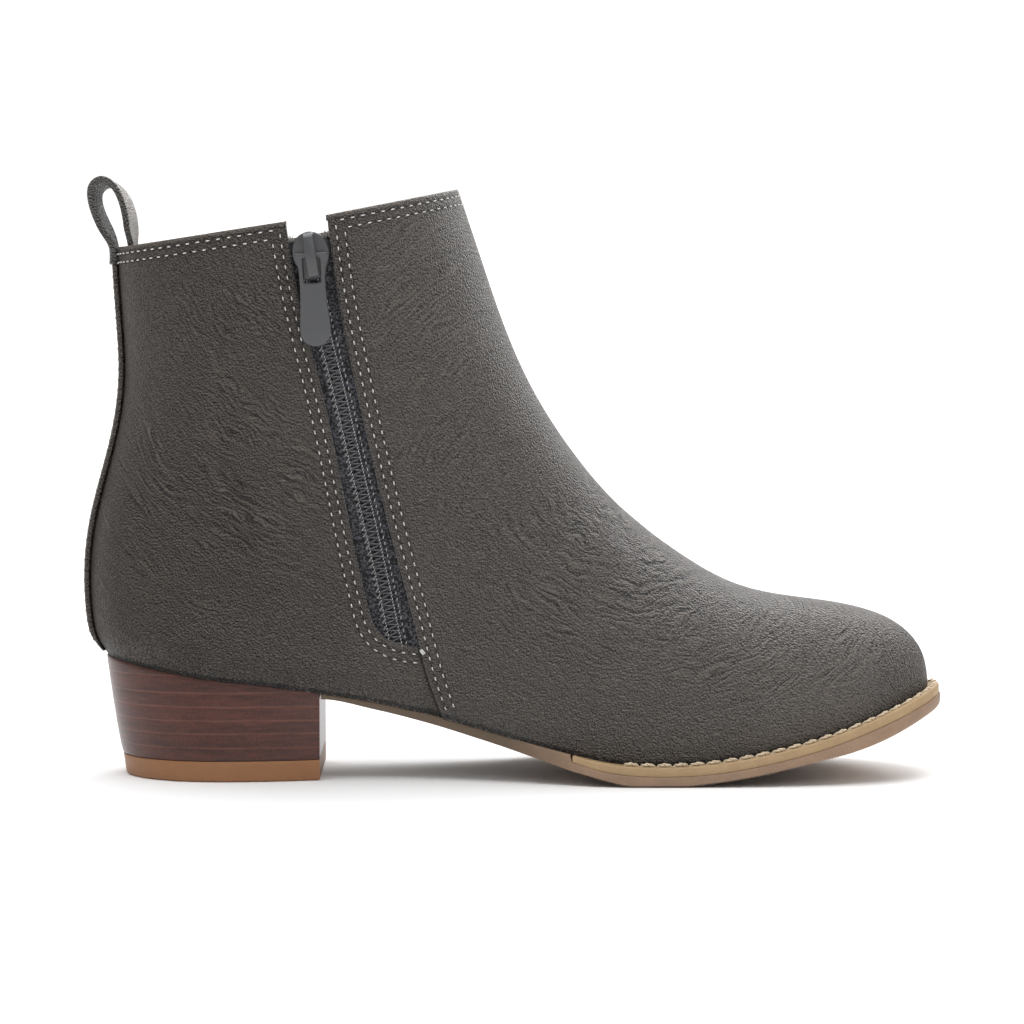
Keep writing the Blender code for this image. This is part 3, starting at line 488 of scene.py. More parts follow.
def leather_material(name, light, dark, fields, grain_share=1.0):
    """Leather with fine grain and, for each field, long wrinkles along its flow.

    Grain and wrinkles get painted light and dark flanks from lit_from_above. The wrinkles' rises are painted
    lighter and their hollows darker, the stitch grooves a little darker, and a painted shadow lies on the
    quarter under the front panel's edge.
    """
    made = material(name, light, 0.5, Specular_IOR_Level=0.5, Sheen_Weight=0.32, Sheen_Roughness=0.33)
    n = Nodes(made)
    fine = n.noise(GRAIN_SCALE, 0.0)
    # Painted light and dark flanks of the grain, as if lit from above
    grain = n.lit_from_above(fine, n.noise(GRAIN_SCALE, 0.0, source=n.moved(GRAIN_STEP)))
    grain = n.math("MULTIPLY", grain, 2.2 * grain_share)
    mottle = n.noise(30.0, 1.0, 0.5)
    patches = n.noise(80.0, 0.0, 0.5)
    broad = n.math("ADD", n.math("MULTIPLY", mottle, 0.30), n.math("MULTIPLY", patches, 0.10))
    shade = n.math("ADD", broad, grain)
    height = n.math("MULTIPLY", fine, 2.0)
    broken = n.ramp(patches, 0.36, 0.60, 0.2, 1.0)
    for number in range(fields):
        flow = n.attribute(f"wrinkle_{number}")["Vector"]
        amount = n.axis("Z", flow)
        meander = n.math("SUBTRACT", n.noise(1.0, 1.0, 0.5, n.scaled(0.08, 0.14, 0.0, flow)), 0.5)
        drift = n.add("ShaderNodeCombineXYZ", {"Y": n.math("MULTIPLY", meander, 7.0)}).outputs[0]
        moved = n.moved(drift, flow)
        long_waves = n.noise(1.0, 1.0, 0.5, n.scaled(*LONG_WAVES, moved), 0.2)
        short_waves = n.noise(1.0, 1.0, 0.5, n.scaled(*SHORT_WAVES, moved), 0.1)
        waves = n.math("ADD", n.math("SUBTRACT", long_waves, 0.5),
                       n.math("MULTIPLY", n.math("SUBTRACT", short_waves, 0.5), 0.6))
        above = n.scaled(*LONG_WAVES, n.moved(WRINKLE_STEP, moved))
        painted_ridge_flanks = n.lit_from_above(long_waves, n.noise(1.0, 1.0, 0.5, above, 0.2))
        strength = n.math("MULTIPLY", amount, broken)
        waves = n.math("MULTIPLY", waves, strength)
        painted_ridge_flanks = n.math("MULTIPLY", painted_ridge_flanks, strength)
        height = n.math("ADD", height, n.math("MULTIPLY", waves, 4.0))
        # Painted shade of the wrinkles: rises lighter and hollows darker, with painted light and dark flanks
        # along their ridges
        shade = n.math("ADD", shade, n.math("ADD", n.math("MULTIPLY", waves, 0.8),
                                            n.math("MULTIPLY", painted_ridge_flanks, 2.6)))
    # Per-vertex tone with painted light and shade
    shade = n.math("ADD", shade, n.attribute("tone_and_painted_light")["Fac"])
    if fields:
        rows = n.add("ShaderNodeSeparateXYZ", {"Vector": n.attribute("rows")["Vector"]}).outputs
        groove = None
        for row in ("X", "Y"):
            near = n.ramp(n.math("ABSOLUTE", rows[row]), 0.15, 0.75, 1.0, 0.0)
            groove = near if groove is None else n.math("MAXIMUM", groove, near)
        height = n.math("SUBTRACT", height, n.math("MULTIPLY", groove, 0.8))
        # The stitch grooves are also painted slightly darker, as shade
        shade = n.math("SUBTRACT", shade, n.math("MULTIPLY", groove, 0.08))
        # Painted shadow on the quarter just under the front panel's edge
        painted_seam_shadow = n.ramp(n.math("ABSOLUTE", n.math("ADD", rows["Z"], 0.5)), 0.15, 0.55, 1.0, 0.0)
        shade = n.math("SUBTRACT", shade, n.math("MULTIPLY", painted_seam_shadow, 0.7))
    colour = n.blend(n.ramp(shade, -0.28, 0.72), dark, light)
    rough = n.ramp(n.math("ADD", fine, mottle), 0.75, 1.25, 0.36, 0.52)
    x = n.axis("X")
    lit = n.math("MULTIPLY", n.ramp(x, -0.030, 0.050), n.ramp(x, 0.200, 0.216, 1.0, 0.35))
    n.put(n.shader.inputs["Sheen Weight"], n.ramp(lit, 0.0, 1.0, 0.0, 0.32))
    n.put(n.shader.inputs["Specular IOR Level"], n.ramp(lit, 0.0, 1.0, 0.2, 0.5))
    n.finish(colour, rough, n.bump(height, 0.00050, 1.0))
    return made


# Fields of wrinkles that run round a pole: pole x, z and spots of centre x, z, half lengths, strength
QUARTER_WRINKLES = [(90.0, 215.0, [(0.0, 94.0, 46.0, 34.0, 1.0), (10.0, 146.0, 28.0, 18.0, 0.7)])]
FRONT_WRINKLES = [
    (218.0, 14.0, [(66.0, 136.0, 20.0, 44.0, 0.8), (64.0, 92.0, 16.0, 18.0, 0.4)]),
    (138.0, 114.0, [(118.0, 62.0, 38.0, 28.0, 1.0), (172.0, 44.0, 36.0, 18.0, 0.9)])]

# Main creases as soft troughs: side, x, z of both ends, bow, width, depth
CREASES = [
    (INNER, -8.0, 96.1, 2.6, 87.6, 0.8, 3.4, 0.30),
    (INNER, -5.4, 100.8, 7.2, 91.5, -0.9, 3.6, 0.34),
    (INNER, 3.8, 90.2, 11.1, 85.1, 1.0, 3.2, 0.30),
    (INNER, 0.0, 78.8, 13.2, 73.7, -0.7, 3.6, 0.36),
    (INNER, 6.0, 77.5, 15.7, 68.1, 0.6, 3.4, 0.30),
    (INNER, -26.8, 87.6, -21.7, 80.0, 0.6, 3.2, 0.28),
    (INNER, -22.6, 81.7, -19.6, 74.5, 0.5, 3.0, 0.26),
    (INNER, -21.7, 70.7, -13.6, 64.8, -0.6, 3.4, 0.32),
    (INNER, -16.2, 71.1, -7.7, 65.6, 0.5, 3.2, 0.28),
    (INNER, -8.9, 142.9, -2.3, 138.2, 0.6, 3.2, 0.26),
    (INNER, 4.2, 145.4, 18.7, 140.4, -0.7, 3.4, 0.30),
    (INNER, 0.0, 138.7, 5.5, 134.8, 0.6, 3.0, 0.24),
    (INNER, 60.4, 147.6, 68.8, 156.6, 0.8, 3.4, 0.26),
    (INNER, 71.9, 157.6, 74.4, 162.8, 0.4, 3.0, 0.24),
    (INNER, 74.4, 120.4, 81.6, 125.9, 0.6, 3.2, 0.26),
    (INNER, 80.7, 74.2, 86.7, 77.0, 0.5, 3.4, 0.26),
    (INNER, 87.2, 101.2, 96.4, 105.1, -0.7, 3.4, 0.28),
    (INNER, 121.2, 77.5, 127.7, 68.8, 1.2, 4.0, 0.34),
    (INNER, 114.2, 50.0, 125.1, 54.5, -1.2, 4.2, 0.36),
    (INNER, 125.1, 54.5, 129.0, 59.0, -0.5, 3.6, 0.28),
    (INNER, 176.4, 34.4, 182.6, 37.9, 0.5, 3.4, 0.22),
    (OUTER, -8.0, 94.0, 6.0, 86.0, 0.9, 3.6, 0.30),
    (OUTER, 2.0, 82.0, 18.0, 74.0, -0.8, 3.8, 0.34),
    (OUTER, -20.0, 78.0, -12.0, 70.0, 0.6, 3.4, 0.28),
    (OUTER, 78.0, 118.0, 86.0, 124.0, 0.8, 3.6, 0.28),
    (OUTER, 92.0, 92.0, 104.0, 86.0, -1.0, 4.0, 0.32),
    (OUTER, 112.0, 52.0, 127.0, 58.0, -1.3, 4.4, 0.38),
    (OUTER, 120.0, 46.0, 137.0, 51.0, -1.0, 4.0, 0.32)]

# Broad hollows and swellings of worn-in leather: x, z, half length, half height, lift
SWELLS = [
    (-12.0, 84.0, 20.0, 10.0, -0.45), (10.0, 66.0, 22.0, 10.0, 0.35), (2.0, 128.0, 18.0, 14.0, -0.35),
    (66.0, 120.0, 14.0, 22.0, 0.30), (96.0, 82.0, 16.0, 10.0, -0.40), (120.0, 58.0, 18.0, 8.0, -0.45),
    (150.0, 44.0, 20.0, 10.0, 0.35), (80.0, 56.0, 18.0, 14.0, 0.30), (128.0, 30.0, 22.0, 8.0, 0.25)]


def relief(points, side):
    """Lift of the leather in its creases and swellings."""
    lift = np.zeros(len(points))
    for mark, x0, z0, x1, z1, bow, width, depth in CREASES:
        start, end = np.array([x0, z0]), np.array([x1, z1])
        run = end - start
        length = np.hypot(*run)
        along = (points - start) @ run / length ** 2
        across = ((points - start) @ np.array([-run[1], run[0]])) / length
        across = across - bow * (1 - (2 * along - 1) ** 2)
        fade = smoothstep(-0.25, 0.2, along) * smoothstep(1.25, 0.8, along)
        share = across / width
        wave = (1 - 1.6 * share ** 2) * np.exp(-share ** 2)
        lift -= np.where(side == mark, depth * fade * wave, 0.0)
    for x, z, half_x, half_z, height in SWELLS:
        away = ((points[:, 0] - x) / half_x) ** 2 + ((points[:, 1] - z) / half_z) ** 2
        lift += height * np.exp(-away)
    return lift


def placed(name, data):
    """Object of its data, linked into the scene."""
    made = bpy.data.objects.new(name, data)
    bpy.context.scene.collection.objects.link(made)
    return made


def new_mesh(name, verts, faces):
    """Mesh from vertices in millimetres."""
    mesh = bpy.data.meshes.new(name)
    mesh.from_pydata((np.asarray(verts, float) * MM).tolist(), [], faces)
    return mesh


def thicken(piece, thickness, offset):
    """Gives a sheet its thickness in millimetres; offset says on which side."""
    solid = piece.modifiers.new("thickness", "SOLIDIFY")
    solid.thickness = thickness * MM
    solid.offset = offset
    return piece


def mesh_object(name, verts, faces, finish, smooth=40.0):
    """Smooth closed mesh with edges kept sharp from an angle in degrees on."""
    mesh = new_mesh(name, verts, faces)
    mesh.validate()
    work = bmesh.new()
    work.from_mesh(mesh)
    bmesh.ops.recalc_face_normals(work, faces=work.faces)
    work.to_mesh(mesh)
    work.free()
    mesh.shade_smooth()
    mesh.set_sharp_from_angle(angle=math.radians(smooth))
    mesh.materials.append(finish)
    return placed(name, mesh)


def dress(piece, slot, *nodes, body="boot"):
    """Says which body a piece rides on and the solids that it stands for; slot, its finish, is not used."""
    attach(piece, body)
    if nodes:
        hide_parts(*nodes)
    return piece


def grid_faces(rows, columns, closed=False):
    """Quads of a grid of points stored row by row."""
    faces = []
    for j in range(rows - 1):
        for i in range(columns if closed else columns - 1):
            k = (i + 1) % columns
            faces.append((j * columns + i, j * columns + k, (j + 1) * columns + k, (j + 1) * columns + i))
    return faces


ROLL_LEVELS = (0.1, 0.28, 0.5, EDGE_RADIUS)
# Depth under the outer face and drop along it of the rows folded over the collar
COLLAR_FOLD = [(1.1, 0.0), (1.5, 0.08), (1.85, 0.3), (2.1, 0.65), (2.25, 1.2), (2.1, 1.8)]
# The same for the rows tucked under the feather edge, from the edge inwards
FEATHER_FOLD = [(0.2, 0.35), (1.0, 0.6), (3.5, 0.7)]
EDGE_WALL = 2.35


def rolled(distance):
    """Drop of a folded edge at a distance from it."""
    inside = np.clip(EDGE_RADIUS - distance, 0.0, EDGE_RADIUS)
    return EDGE_RADIUS - np.sqrt(np.maximum(EDGE_RADIUS ** 2 - inside ** 2, 0.0))


def slot_distance(points, side):
    """Distance of the quarter's points from the edge of the zip opening."""
    return np.where(side == INNER, distance_to_line(points, slot_outline()), 50.0)


def seam_distance(points, side=None):
    """How far points lie in front of the side seam."""
    edge = seam.at(np.linspace(0, 1, 60))
    above = edge[-1] + (edge[-1] - edge[-2]) * 10
    below = edge[0] + (edge[0] - edge[1]) * 10
    return distance_to_line(points, np.vstack([below, edge, above]))


def panel_columns(place, shares, level):
    """Points of one level over both sides: free edge, fold, free edge."""
    flat = np.full(len(shares), level)
    inner = place(shares, flat, INNER)
    outer = place(shares[-2::-1], flat[1:], OUTER)
    y = np.concatenate([skin(inner[:, 0], inner[:, 1], INNER), skin(outer[:, 0], outer[:, 1], OUTER)])
    flat_places = np.vstack([inner, outer])
    middle = len(shares) - 1
    y[middle] = ridge(flat_places[middle, 0])
    return np.column_stack([flat_places[:, 0], y, flat_places[:, 1]])


def sheet_normals(grid):
    """Normals of a grid of points, facing away from the boot's middle."""
    normal = np.cross(np.gradient(grid, axis=1), np.gradient(grid, axis=0))
    normal = unit(normal)
    away = np.sum(normal[..., 1] * (grid[..., 1] - ridge(grid[..., 0])))
    return normal if away > 0 else -normal


def leather_panel(name, place, shares, levels, edge_distance, lowered, finish, wrinkles, cut):
    """Leather over both sides of the boot, folded at the collar, the feather and its free edges."""
    grid = np.array([panel_columns(place, shares, level) for level in levels])
    normal = sheet_normals(grid)
    rows = [(0, depth, drop) for depth, drop in reversed(FEATHER_FOLD)]
    rows += [(j, 0.0, 0.0) for j in range(len(levels))]
    rows += [(len(levels) - 1, depth, drop) for depth, drop in COLLAR_FOLD]
    work = bmesh.new()
    layers = work.verts.layers
    normal_layer = layers.float_vector.new("normal")
    depth_layer, drop_layer, value_layer = (layers.float.new(n) for n in ("depth", "drop", "value"))
    verts = []
    for row, depth, drop in rows:
        for point, out in zip(grid[row], normal[row]):
            vert = work.verts.new(point)
            vert[normal_layer] = out
            vert[depth_layer] = depth
            vert[drop_layer] = drop
            verts.append(vert)
    for face in grid_faces(len(rows), grid.shape[1]):
        work.faces.new([verts[i] for i in face])
    work.verts.index_update()
    if cut:
        for level in (0.0,) + ROLL_LEVELS:
            split_along(work, edge_distance, level, value_layer)
        remove_cut(work, edge_distance)
    flat, side = side_places(work)
    free = edge_distance(flat, side)
    rim = [edge for edge in work.edges
           if edge.is_boundary and max(abs(free[vert.index]) for vert in edge.verts) < 0.03]
    made = bmesh.ops.extrude_edge_only(work, edges=rim)["geom"]
    for vert in made:
        if isinstance(vert, bmesh.types.BMVert):
            vert[depth_layer] = EDGE_WALL
    work.verts.ensure_lookup_table()
    work.verts.index_update()
    flat, side = side_places(work)
    out = np.array([vert[normal_layer] for vert in work.verts])
    out = unit(out)
    depth = np.array([vert[depth_layer] for vert in work.verts])
    drop = np.array([vert[drop_layer] for vert in work.verts])
    below_collar = np.where(drop > 0.0, 0.0, collar_distance(flat, side))
    roll = np.maximum(rolled(np.maximum(below_collar, 0.0)), rolled(edge_distance(flat, side)))
    sunk = np.where(depth > 0.0, depth, roll)
    lift = relief(flat, side) - lowered(flat, side) - sunk
    wall = depth == EDGE_WALL
    out[wall] = np.column_stack([0 * side[wall], side[wall], 0 * side[wall]])
    down = np.array([0.0, 0.0, -1.0]) + out * out[:, 2:]
    down /= np.linalg.norm(down, axis=1, keepdims=True)
    down[flat[:, 1] < 60.0] = (0.0, 0.0, -1.0)
    places = np.array([vert.co for vert in work.verts]) + out * lift[:, None] + down * drop[:, None]
    for vert, moved in zip(work.verts, places * MM):
        vert.co = moved
    bmesh.ops.recalc_face_normals(work, faces=work.faces)
    work.normal_update()
    facing = sum(vert.normal.dot(Vector(way)) for vert, way in zip(work.verts, out))
    if facing < 0:
        bmesh.ops.reverse_faces(work, faces=work.faces)
    mesh = bpy.data.meshes.new(name)
    work.to_mesh(mesh)
    work.free()
    mesh.shade_smooth()
    mesh.set_sharp_from_angle(angle=math.radians(70))
    mesh.materials.append(finish)
    mark_leather(mesh, flat, side, edge_distance, wrinkles)
    return thicken(placed(name, mesh), 0.25, -1.0)


def side_places(work):
    """Side-view places of a mesh's vertices, and the side that each is on."""
    places = np.array([vert.co for vert in work.verts])
    side = np.where(places[:, 1] > ridge(places[:, 0]) + 1e-6, OUTER, INNER)
    return places[:, [0, 2]], side


def split_along(work, distance, level, layer):
    """Cuts a mesh's faces along the line where a distance of the side view has a level."""
    values = distance(*side_places(work)) - level
    values[np.abs(values) < 0.02] = 0.0
    for vert, value in zip(work.verts, values):
        vert[layer] = value
    crossed = [edge for edge in work.edges if values[edge.verts[0].index] * values[edge.verts[1].index] < 0]
    on_line = {vert for vert in work.verts if vert[layer] == 0.0}
    touched = {}
    for edge in crossed:
        first, last = edge.verts
        share = first[layer] / (first[layer] - last[layer])
        _, vert = bmesh.utils.edge_split(edge, first, share)
        on_line.add(vert)
        touched.update(dict.fromkeys(vert.link_faces))
    for face in touched:
        marked = [vert for vert in face.verts if vert in on_line]
        if len(marked) == 2 and all(edge.other_vert(marked[0]) is not marked[1]
                                    for edge in marked[0].link_edges):
            bmesh.utils.face_split(face, marked[0], marked[1])
    work.verts.ensure_lookup_table()
    work.verts.index_update()


def remove_cut(work, distance):
    """Deletes the faces whose middle has a negative distance."""
    middles = np.array([face.calc_center_median() for face in work.faces])
    side = np.where(middles[:, 1] > ridge(middles[:, 0]), OUTER, INNER)
    values = distance(middles[:, [0, 2]], side)
    gone = [face for face, value in zip(work.faces, values) if value < 0]
    bmesh.ops.delete(work, geom=gone, context="FACES")
    work.verts.ensure_lookup_table()
    work.verts.index_update()


def mark_leather(mesh, flat, side, edge_distance, wrinkles):
    """Stores the wrinkle fields, the tone with its painted light and shade, and the stitch rows on a leather
    mesh.
    """
    places = np.zeros(len(mesh.vertices) * 3, np.float32)
    mesh.vertices.foreach_get("co", places)
    y = places.reshape(-1, 3)[:, 1] / MM
    x, z = flat[:, 0], flat[:, 1]
    for number, (pole_x, pole_z, spots) in enumerate(wrinkles):
        amount = np.zeros(len(x))
        for spot_x, spot_z, half_x, half_z, strength in spots:
            away = ((x - spot_x) / half_x) ** 2 + ((z - spot_z) / half_z) ** 2
            amount = np.maximum(amount, strength * np.exp(-away ** 1.5))
        reach = np.hypot(x - pole_x, z - pole_z)
        angle = np.arctan2(x - pole_x, pole_z - z)
        mean = math.hypot(spots[0][0] - pole_x, spots[0][1] - pole_z)
        store(mesh, f"wrinkle_{number}", "FLOAT_VECTOR", np.column_stack(
            [angle * mean + y * 0.3, reach + y * 0.35, 0.08 + 0.92 * amount]))
    rim = collar_distance(flat, side)
    # Painted light and shade: lighter over the toe, darker at the toe tip and towards the back, a painted
    # highlight on the collar's rolled edge with a painted shade line just below it, and painted shade along
    # the lower edge over the welt; the other terms set small tone steps, lighter towards the front
    tone_and_painted_light = (-0.06 - 0.02 * smoothstep(10.0, -30.0, x) + 0.08 * smoothstep(30.0, 60.0, x)
            + 0.22 * smoothstep(150.0, 185.0, x)
            - 0.26 * smoothstep(192.0, 214.0, x) * smoothstep(50.0, 38.0, z)
            + 0.03 * smoothstep(60.0, 35.0, z) * smoothstep(120.0, 60.0, x)
            + 0.60 * smoothstep(1.2, 0.6, rim) - 0.14 * smoothstep(0.9, 1.3, rim) * smoothstep(2.2, 1.6, rim)
            - 0.70 * smoothstep(1.3, 0.5, z - feather(x)))
    store(mesh, "tone_and_painted_light", "FLOAT", tone_and_painted_light)
    edges = np.stack([edge_distance(flat, side), rim])
    near = nearest_row(edges - NEAR_ROW)
    far = nearest_row(edges - FAR_ROW)
    # Z is the distance from the side seam, which places the painted shadow under the front panel's edge
    store(mesh, "rows", "FLOAT_VECTOR", np.column_stack([near, far, seam_distance(flat)]))


def nearest_row(signed):
    return np.where(np.abs(signed[0]) < np.abs(signed[1]), signed[0], signed[1])


def store(mesh, name, kind, values):
    """Stores one value or vector per vertex as a named attribute."""
    layer = mesh.attributes.new(name, kind, "POINT")
    layer.data.foreach_set("value" if kind == "FLOAT" else "vector", values.astype(np.float32).ravel())


def quarter_lowered(flat, side):
    """The quarter sinks under the front panel's edge."""
    return PANEL_STEP * smoothstep(-9.0, -0.5, seam_distance(flat))


def edge_levels(count, fine):
    """Levels from the feather to the collar, close together at the folded collar."""
    rows = list(np.linspace(0, 1 - fine * 12, count))
    return np.array(rows + [1 - fine * step for step in (8, 5.5, 4, 3, 2.2, 1.5, 0.9, 0.4, 0)])


def loft(name, sections, finish, smooth=40.0):
    """Solid through sections of equal point counts."""
    count = len(sections[0])
    verts = [point for section in sections for point in section]
    faces = grid_faces(len(sections), count, closed=True)
    last = (len(sections) - 1) * count
    faces += [tuple(range(count)), tuple(reversed(range(last, last + count)))]
    return mesh_object(name, verts, faces, finish, smooth)


def tubes(name, runs, radius, finish, sides=6):
    """Round threads along runs of points, with closed ends, as one mesh."""
    verts, faces = [], []
    for run in runs:
        run = np.asarray(run, float)
        ahead = np.gradient(run, axis=0)
        ahead = unit(ahead)
        across = np.cross(ahead, (0.13, 0.31, 0.94))
        across = unit(across)
        over = np.cross(ahead, across)
        first = len(verts)
        turns = np.arange(sides) * 2 * math.pi / sides
        for point, a, b in zip(run, across, over):
            verts += [point + (a * math.cos(turn) + b * math.sin(turn)) * radius for turn in turns]
        faces += [tuple(first + i for i in face) for face in grid_faces(len(run), sides, closed=True)]
        last = first + (len(run) - 1) * sides
        faces.append(tuple(range(first + sides - 1, first - 1, -1)))
        faces.append(tuple(range(last, last + sides)))
    mesh = new_mesh(name, verts, faces)
    mesh.shade_smooth()
    mesh.materials.append(finish)
    return placed(name, mesh)


def resample(points, pitch):
    """Points at equal steps along a polyline in space."""
    points = np.asarray(points, float)
    length = np.concatenate([[0], np.cumsum(np.linalg.norm(np.diff(points, axis=0), axis=1))])
    count = max(int(round(length[-1] / pitch)), 1)
    places = np.linspace(0, length[-1], count + 1)
    return np.column_stack([np.interp(places, length, points[:, i]) for i in range(3)])


class Surface:
    """Finished leather faces, to lay thread on."""

    def __init__(self, pieces):
        verts, faces = [], []
        for piece in pieces:
            first = len(verts)
            verts += [vert.co / MM for vert in piece.data.vertices]
            faces += [[first + i for i in face.vertices] for face in piece.data.polygons]
        self.tree = BVHTree.FromPolygons(verts, faces)

    def nearest(self, point):
        place, normal, _, _ = self.tree.find_nearest(Vector(point))
        away = Vector(point) - place
        if normal.dot(away) < 0 and away.length > 0.4:
            normal = -normal
        return np.array(place), np.array(normal)


# Height of a stitch over the leather along its length
STITCH_SHAPE = [
    (0.0, -0.28), (0.1, 0.02), (0.28, 0.19), (0.5, 0.24), (0.72, 0.19), (0.9, 0.02), (1.0, -0.28)]
# Part of the pitch where the thread lies on the leather
STITCH_SHARE = 0.30


def stitch_row(line, surface, pitch=STITCH_PITCH, lift=1.0):
    """Stitches and needle holes along a line laid on the leather."""
    places = resample(line, pitch)
    runs, holes = [], []
    for start, end in zip(places, places[1:]):
        rest = (1 - STITCH_SHARE) / 2
        run = []
        for share, height in STITCH_SHAPE:
            along = start + (end - start) * (rest + share * STITCH_SHARE)
            ground_point, normal = surface.nearest(along)
            run.append(ground_point + normal * height * lift)
        runs.append(run)
    for before, place, after in zip(places, places[1:], places[2:]):
        ground_point, normal = surface.nearest(place)
        holes.append((ground_point, normal, (after - before) / np.linalg.norm(after - before)))
    return runs, holes


HOLE_LENGTH, HOLE_WIDTH = 1.2, 0.34


def hole_marks(name, holes, finish):
    """Painted shade of the needle holes between the stitches, where the thread is below the leather: dark
    discs laid just over the leather.
    """
    verts, faces = [], []
    for place, normal, ahead in holes:
        across = np.cross(normal, ahead)
        across /= np.linalg.norm(across)
        first = len(verts)
        verts.append(place + normal * 0.05)
        for turn in np.arange(10) * math.pi / 5:
            rim = ahead * math.cos(turn) * HOLE_LENGTH / 2 + across * math.sin(turn) * HOLE_WIDTH / 2
            verts.append(place + rim + normal * 0.03)
        faces += [(first, first + 1 + i, first + 1 + (i + 1) % 10) for i in range(10)]
    mesh = new_mesh(name, verts, faces)
    mesh.materials.append(finish)
    return placed(name, mesh)


# Materials

LEATHER_LIGHT, LEATHER_DARK = (0.104, 0.087, 0.074), (0.0045, 0.0037, 0.0031)
quarter_leather = leather_material("quarter_leather", LEATHER_LIGHT, LEATHER_DARK, len(QUARTER_WRINKLES))
front_leather = leather_material("front_leather", LEATHER_LIGHT, LEATHER_DARK, len(FRONT_WRINKLES))
strip_leather = leather_material("strip_leather", (0.150, 0.132, 0.118), (0.018, 0.0155, 0.0135), 0, 0.8)
# The loop's light colour is reached only on its painted sheen; elsewhere its tone keeps it dark
loop_leather = leather_material("loop_leather", (0.44, 0.42, 0.40), (0.018, 0.016, 0.014), 0, 0.35)
lining_cloth = material("lining", (0.20, 0.17, 0.14), 0.85)
sock_cloth = material("insole_sock", (0.30, 0.25, 0.20), 0.8)
thread_grey = material("thread", (0.58, 0.56, 0.53), 0.5)
thread_zip = material("zip_thread", (0.42, 0.42, 0.41), 0.6)
thread_cream = material("welt_thread", (0.60, 0.49, 0.35), 0.6)
fuzz_thread = material("fuzz_thread", (0.32, 0.31, 0.29), 0.8)
# Painted shade of the needle holes
painted_hole_shade = material("needle_holes", (0.018, 0.016, 0.014), 0.9)
coil_plastic = material("coil_plastic", (0.115, 0.115, 0.122), 0.25)
enamel = material("slider_enamel", (0.062, 0.063, 0.066), 0.36, 0.2, Coat_Weight=0.2, Coat_Roughness=0.2)


def tape_material():
    made = material("tape_cloth", (0.033, 0.033, 0.040), 0.9, Sheen_Weight=0.3)
    n = Nodes(made)
    weave = n.noise(1.0, 0.0, 0.5, n.scaled(1500.0, 1500.0, 1700.0))
    n.finish(n.blend(n.ramp(weave, 0.42, 0.66), (0.001, 0.001, 0.002), (0.075, 0.075, 0.088)), 0.9,
             n.bump(weave, 0.0003, 0.8))
    return made


HEEL_LINES = [10.3, 14.6, 18.6, 22.8, 27.1, 32.2]


def stack_material():
    """Glossy stacked leather: fine level grain with a thin reddish line at each layer."""
    made = material("stacked_leather", (0.09, 0.04, 0.03), 0.34, Specular_IOR_Level=0.4, Coat_Weight=0.12,
                    Coat_Roughness=0.2)
    n = Nodes(made)
    height = n.math("MULTIPLY", n.axis("Z"), 1000.0)
    wander = n.math("MULTIPLY", n.math("SUBTRACT", n.noise(60.0, 2.0, 0.5), 0.5), 0.5)
    level = n.math("ADD", height, wander)
    grain = n.noise(1.0, 3.0, 0.65, n.scaled(160.0, 160.0, 1100.0))
    coarse = n.noise(1.0, 2.0, 0.5, n.scaled(20.0, 20.0, 260.0))
    pores = n.noise(1900.0, 2.0, 0.6)
    shade = n.math("ADD", n.math("MULTIPLY", grain, 0.35), n.math("MULTIPLY", coarse, 0.3))
    shade = n.math("ADD", shade, n.math("MULTIPLY", pores, 0.35))
    colour = n.blend(n.ramp(shade, 0.40, 0.60), (0.030, 0.0094, 0.0062), (0.094, 0.026, 0.0165))
    line = None
    for place in HEEL_LINES:
        away = n.math("ABSOLUTE", n.math("SUBTRACT", level, place))
        near = n.ramp(away, 0.08, 0.45, 1.0, 0.0)
        line = near if line is None else n.math("MAXIMUM", line, near)
    broken = n.math("MULTIPLY", line, n.ramp(n.noise(120.0, 2.0), 0.3, 0.6, 0.2, 0.6))
    colour = n.blend(broken, colour, (0.155, 0.055, 0.036))
    height_map = n.math("SUBTRACT", n.math("MULTIPLY", pores, 0.5), n.math("MULTIPLY", line, 0.6))
    n.finish(colour, n.ramp(pores, 0.3, 0.7, 0.28, 0.42), n.bump(height_map, 0.00012, 0.6))
    return made


def rubber_material(name, light, dark, roughness, waist=None):
    """Rubber with a fine mottle; waist gives a darker colour for the part before the forefoot."""
    made = material(name, light, roughness)
    n = Nodes(made)
    mottle = n.math("ADD", n.math("MULTIPLY", n.noise(160.0, 3.0, 0.6), 0.6),
                    n.math("MULTIPLY", n.noise(900.0, 2.0, 0.6), 0.4))
    colour = n.blend(n.ramp(mottle, 0.35, 0.65), dark, light)
    if waist:
        x = n.axis("X")
        colour = n.blend(n.ramp(x, 0.088, 0.112, 1.0, 0.0), colour, waist)
    n.finish(colour, None, n.bump(mottle, 0.0001, 0.5))
    return made


tape_cloth = tape_material()
heel_stack = stack_material()
welt_rubber = rubber_material("welt_rubber", (0.40, 0.272, 0.146), (0.33, 0.220, 0.112), 0.6)
sole_rubber = rubber_material("sole_rubber", (0.30, 0.195, 0.125), (0.24, 0.155, 0.100), 0.62,
                              (0.115, 0.078, 0.050))
tap_rubber = rubber_material("tap_rubber", (0.285, 0.128, 0.050), (0.255, 0.114, 0.044), 0.5)

# Leather upper and lining

# Share of the quarter's width down to its edge under the front panel
QUARTER_SPAN = 1.035
quarter_shares = QUARTER_SPAN * np.linspace(1, 0, 96) ** 2
front_shares = np.concatenate([[0, 0.002, 0.005, 0.009, 0.013, 0.019],
                               1 - (1 - np.linspace(0.02, 1, 88)) ** 1.7])
quarter = leather_panel("quarter", quarter_place, quarter_shares, edge_levels(150, 0.0007), slot_distance,
                        quarter_lowered, quarter_leather, QUARTER_WRINKLES, True)
dress(quarter, "grey_leather", "upper")
vamp = leather_panel("front_panel", front_place, front_shares, edge_levels(190, 0.0006), seam_distance,
                     lambda flat, side: np.zeros(len(flat)), front_leather, FRONT_WRINKLES, False)
dress(vamp, "grey_leather", "upper")


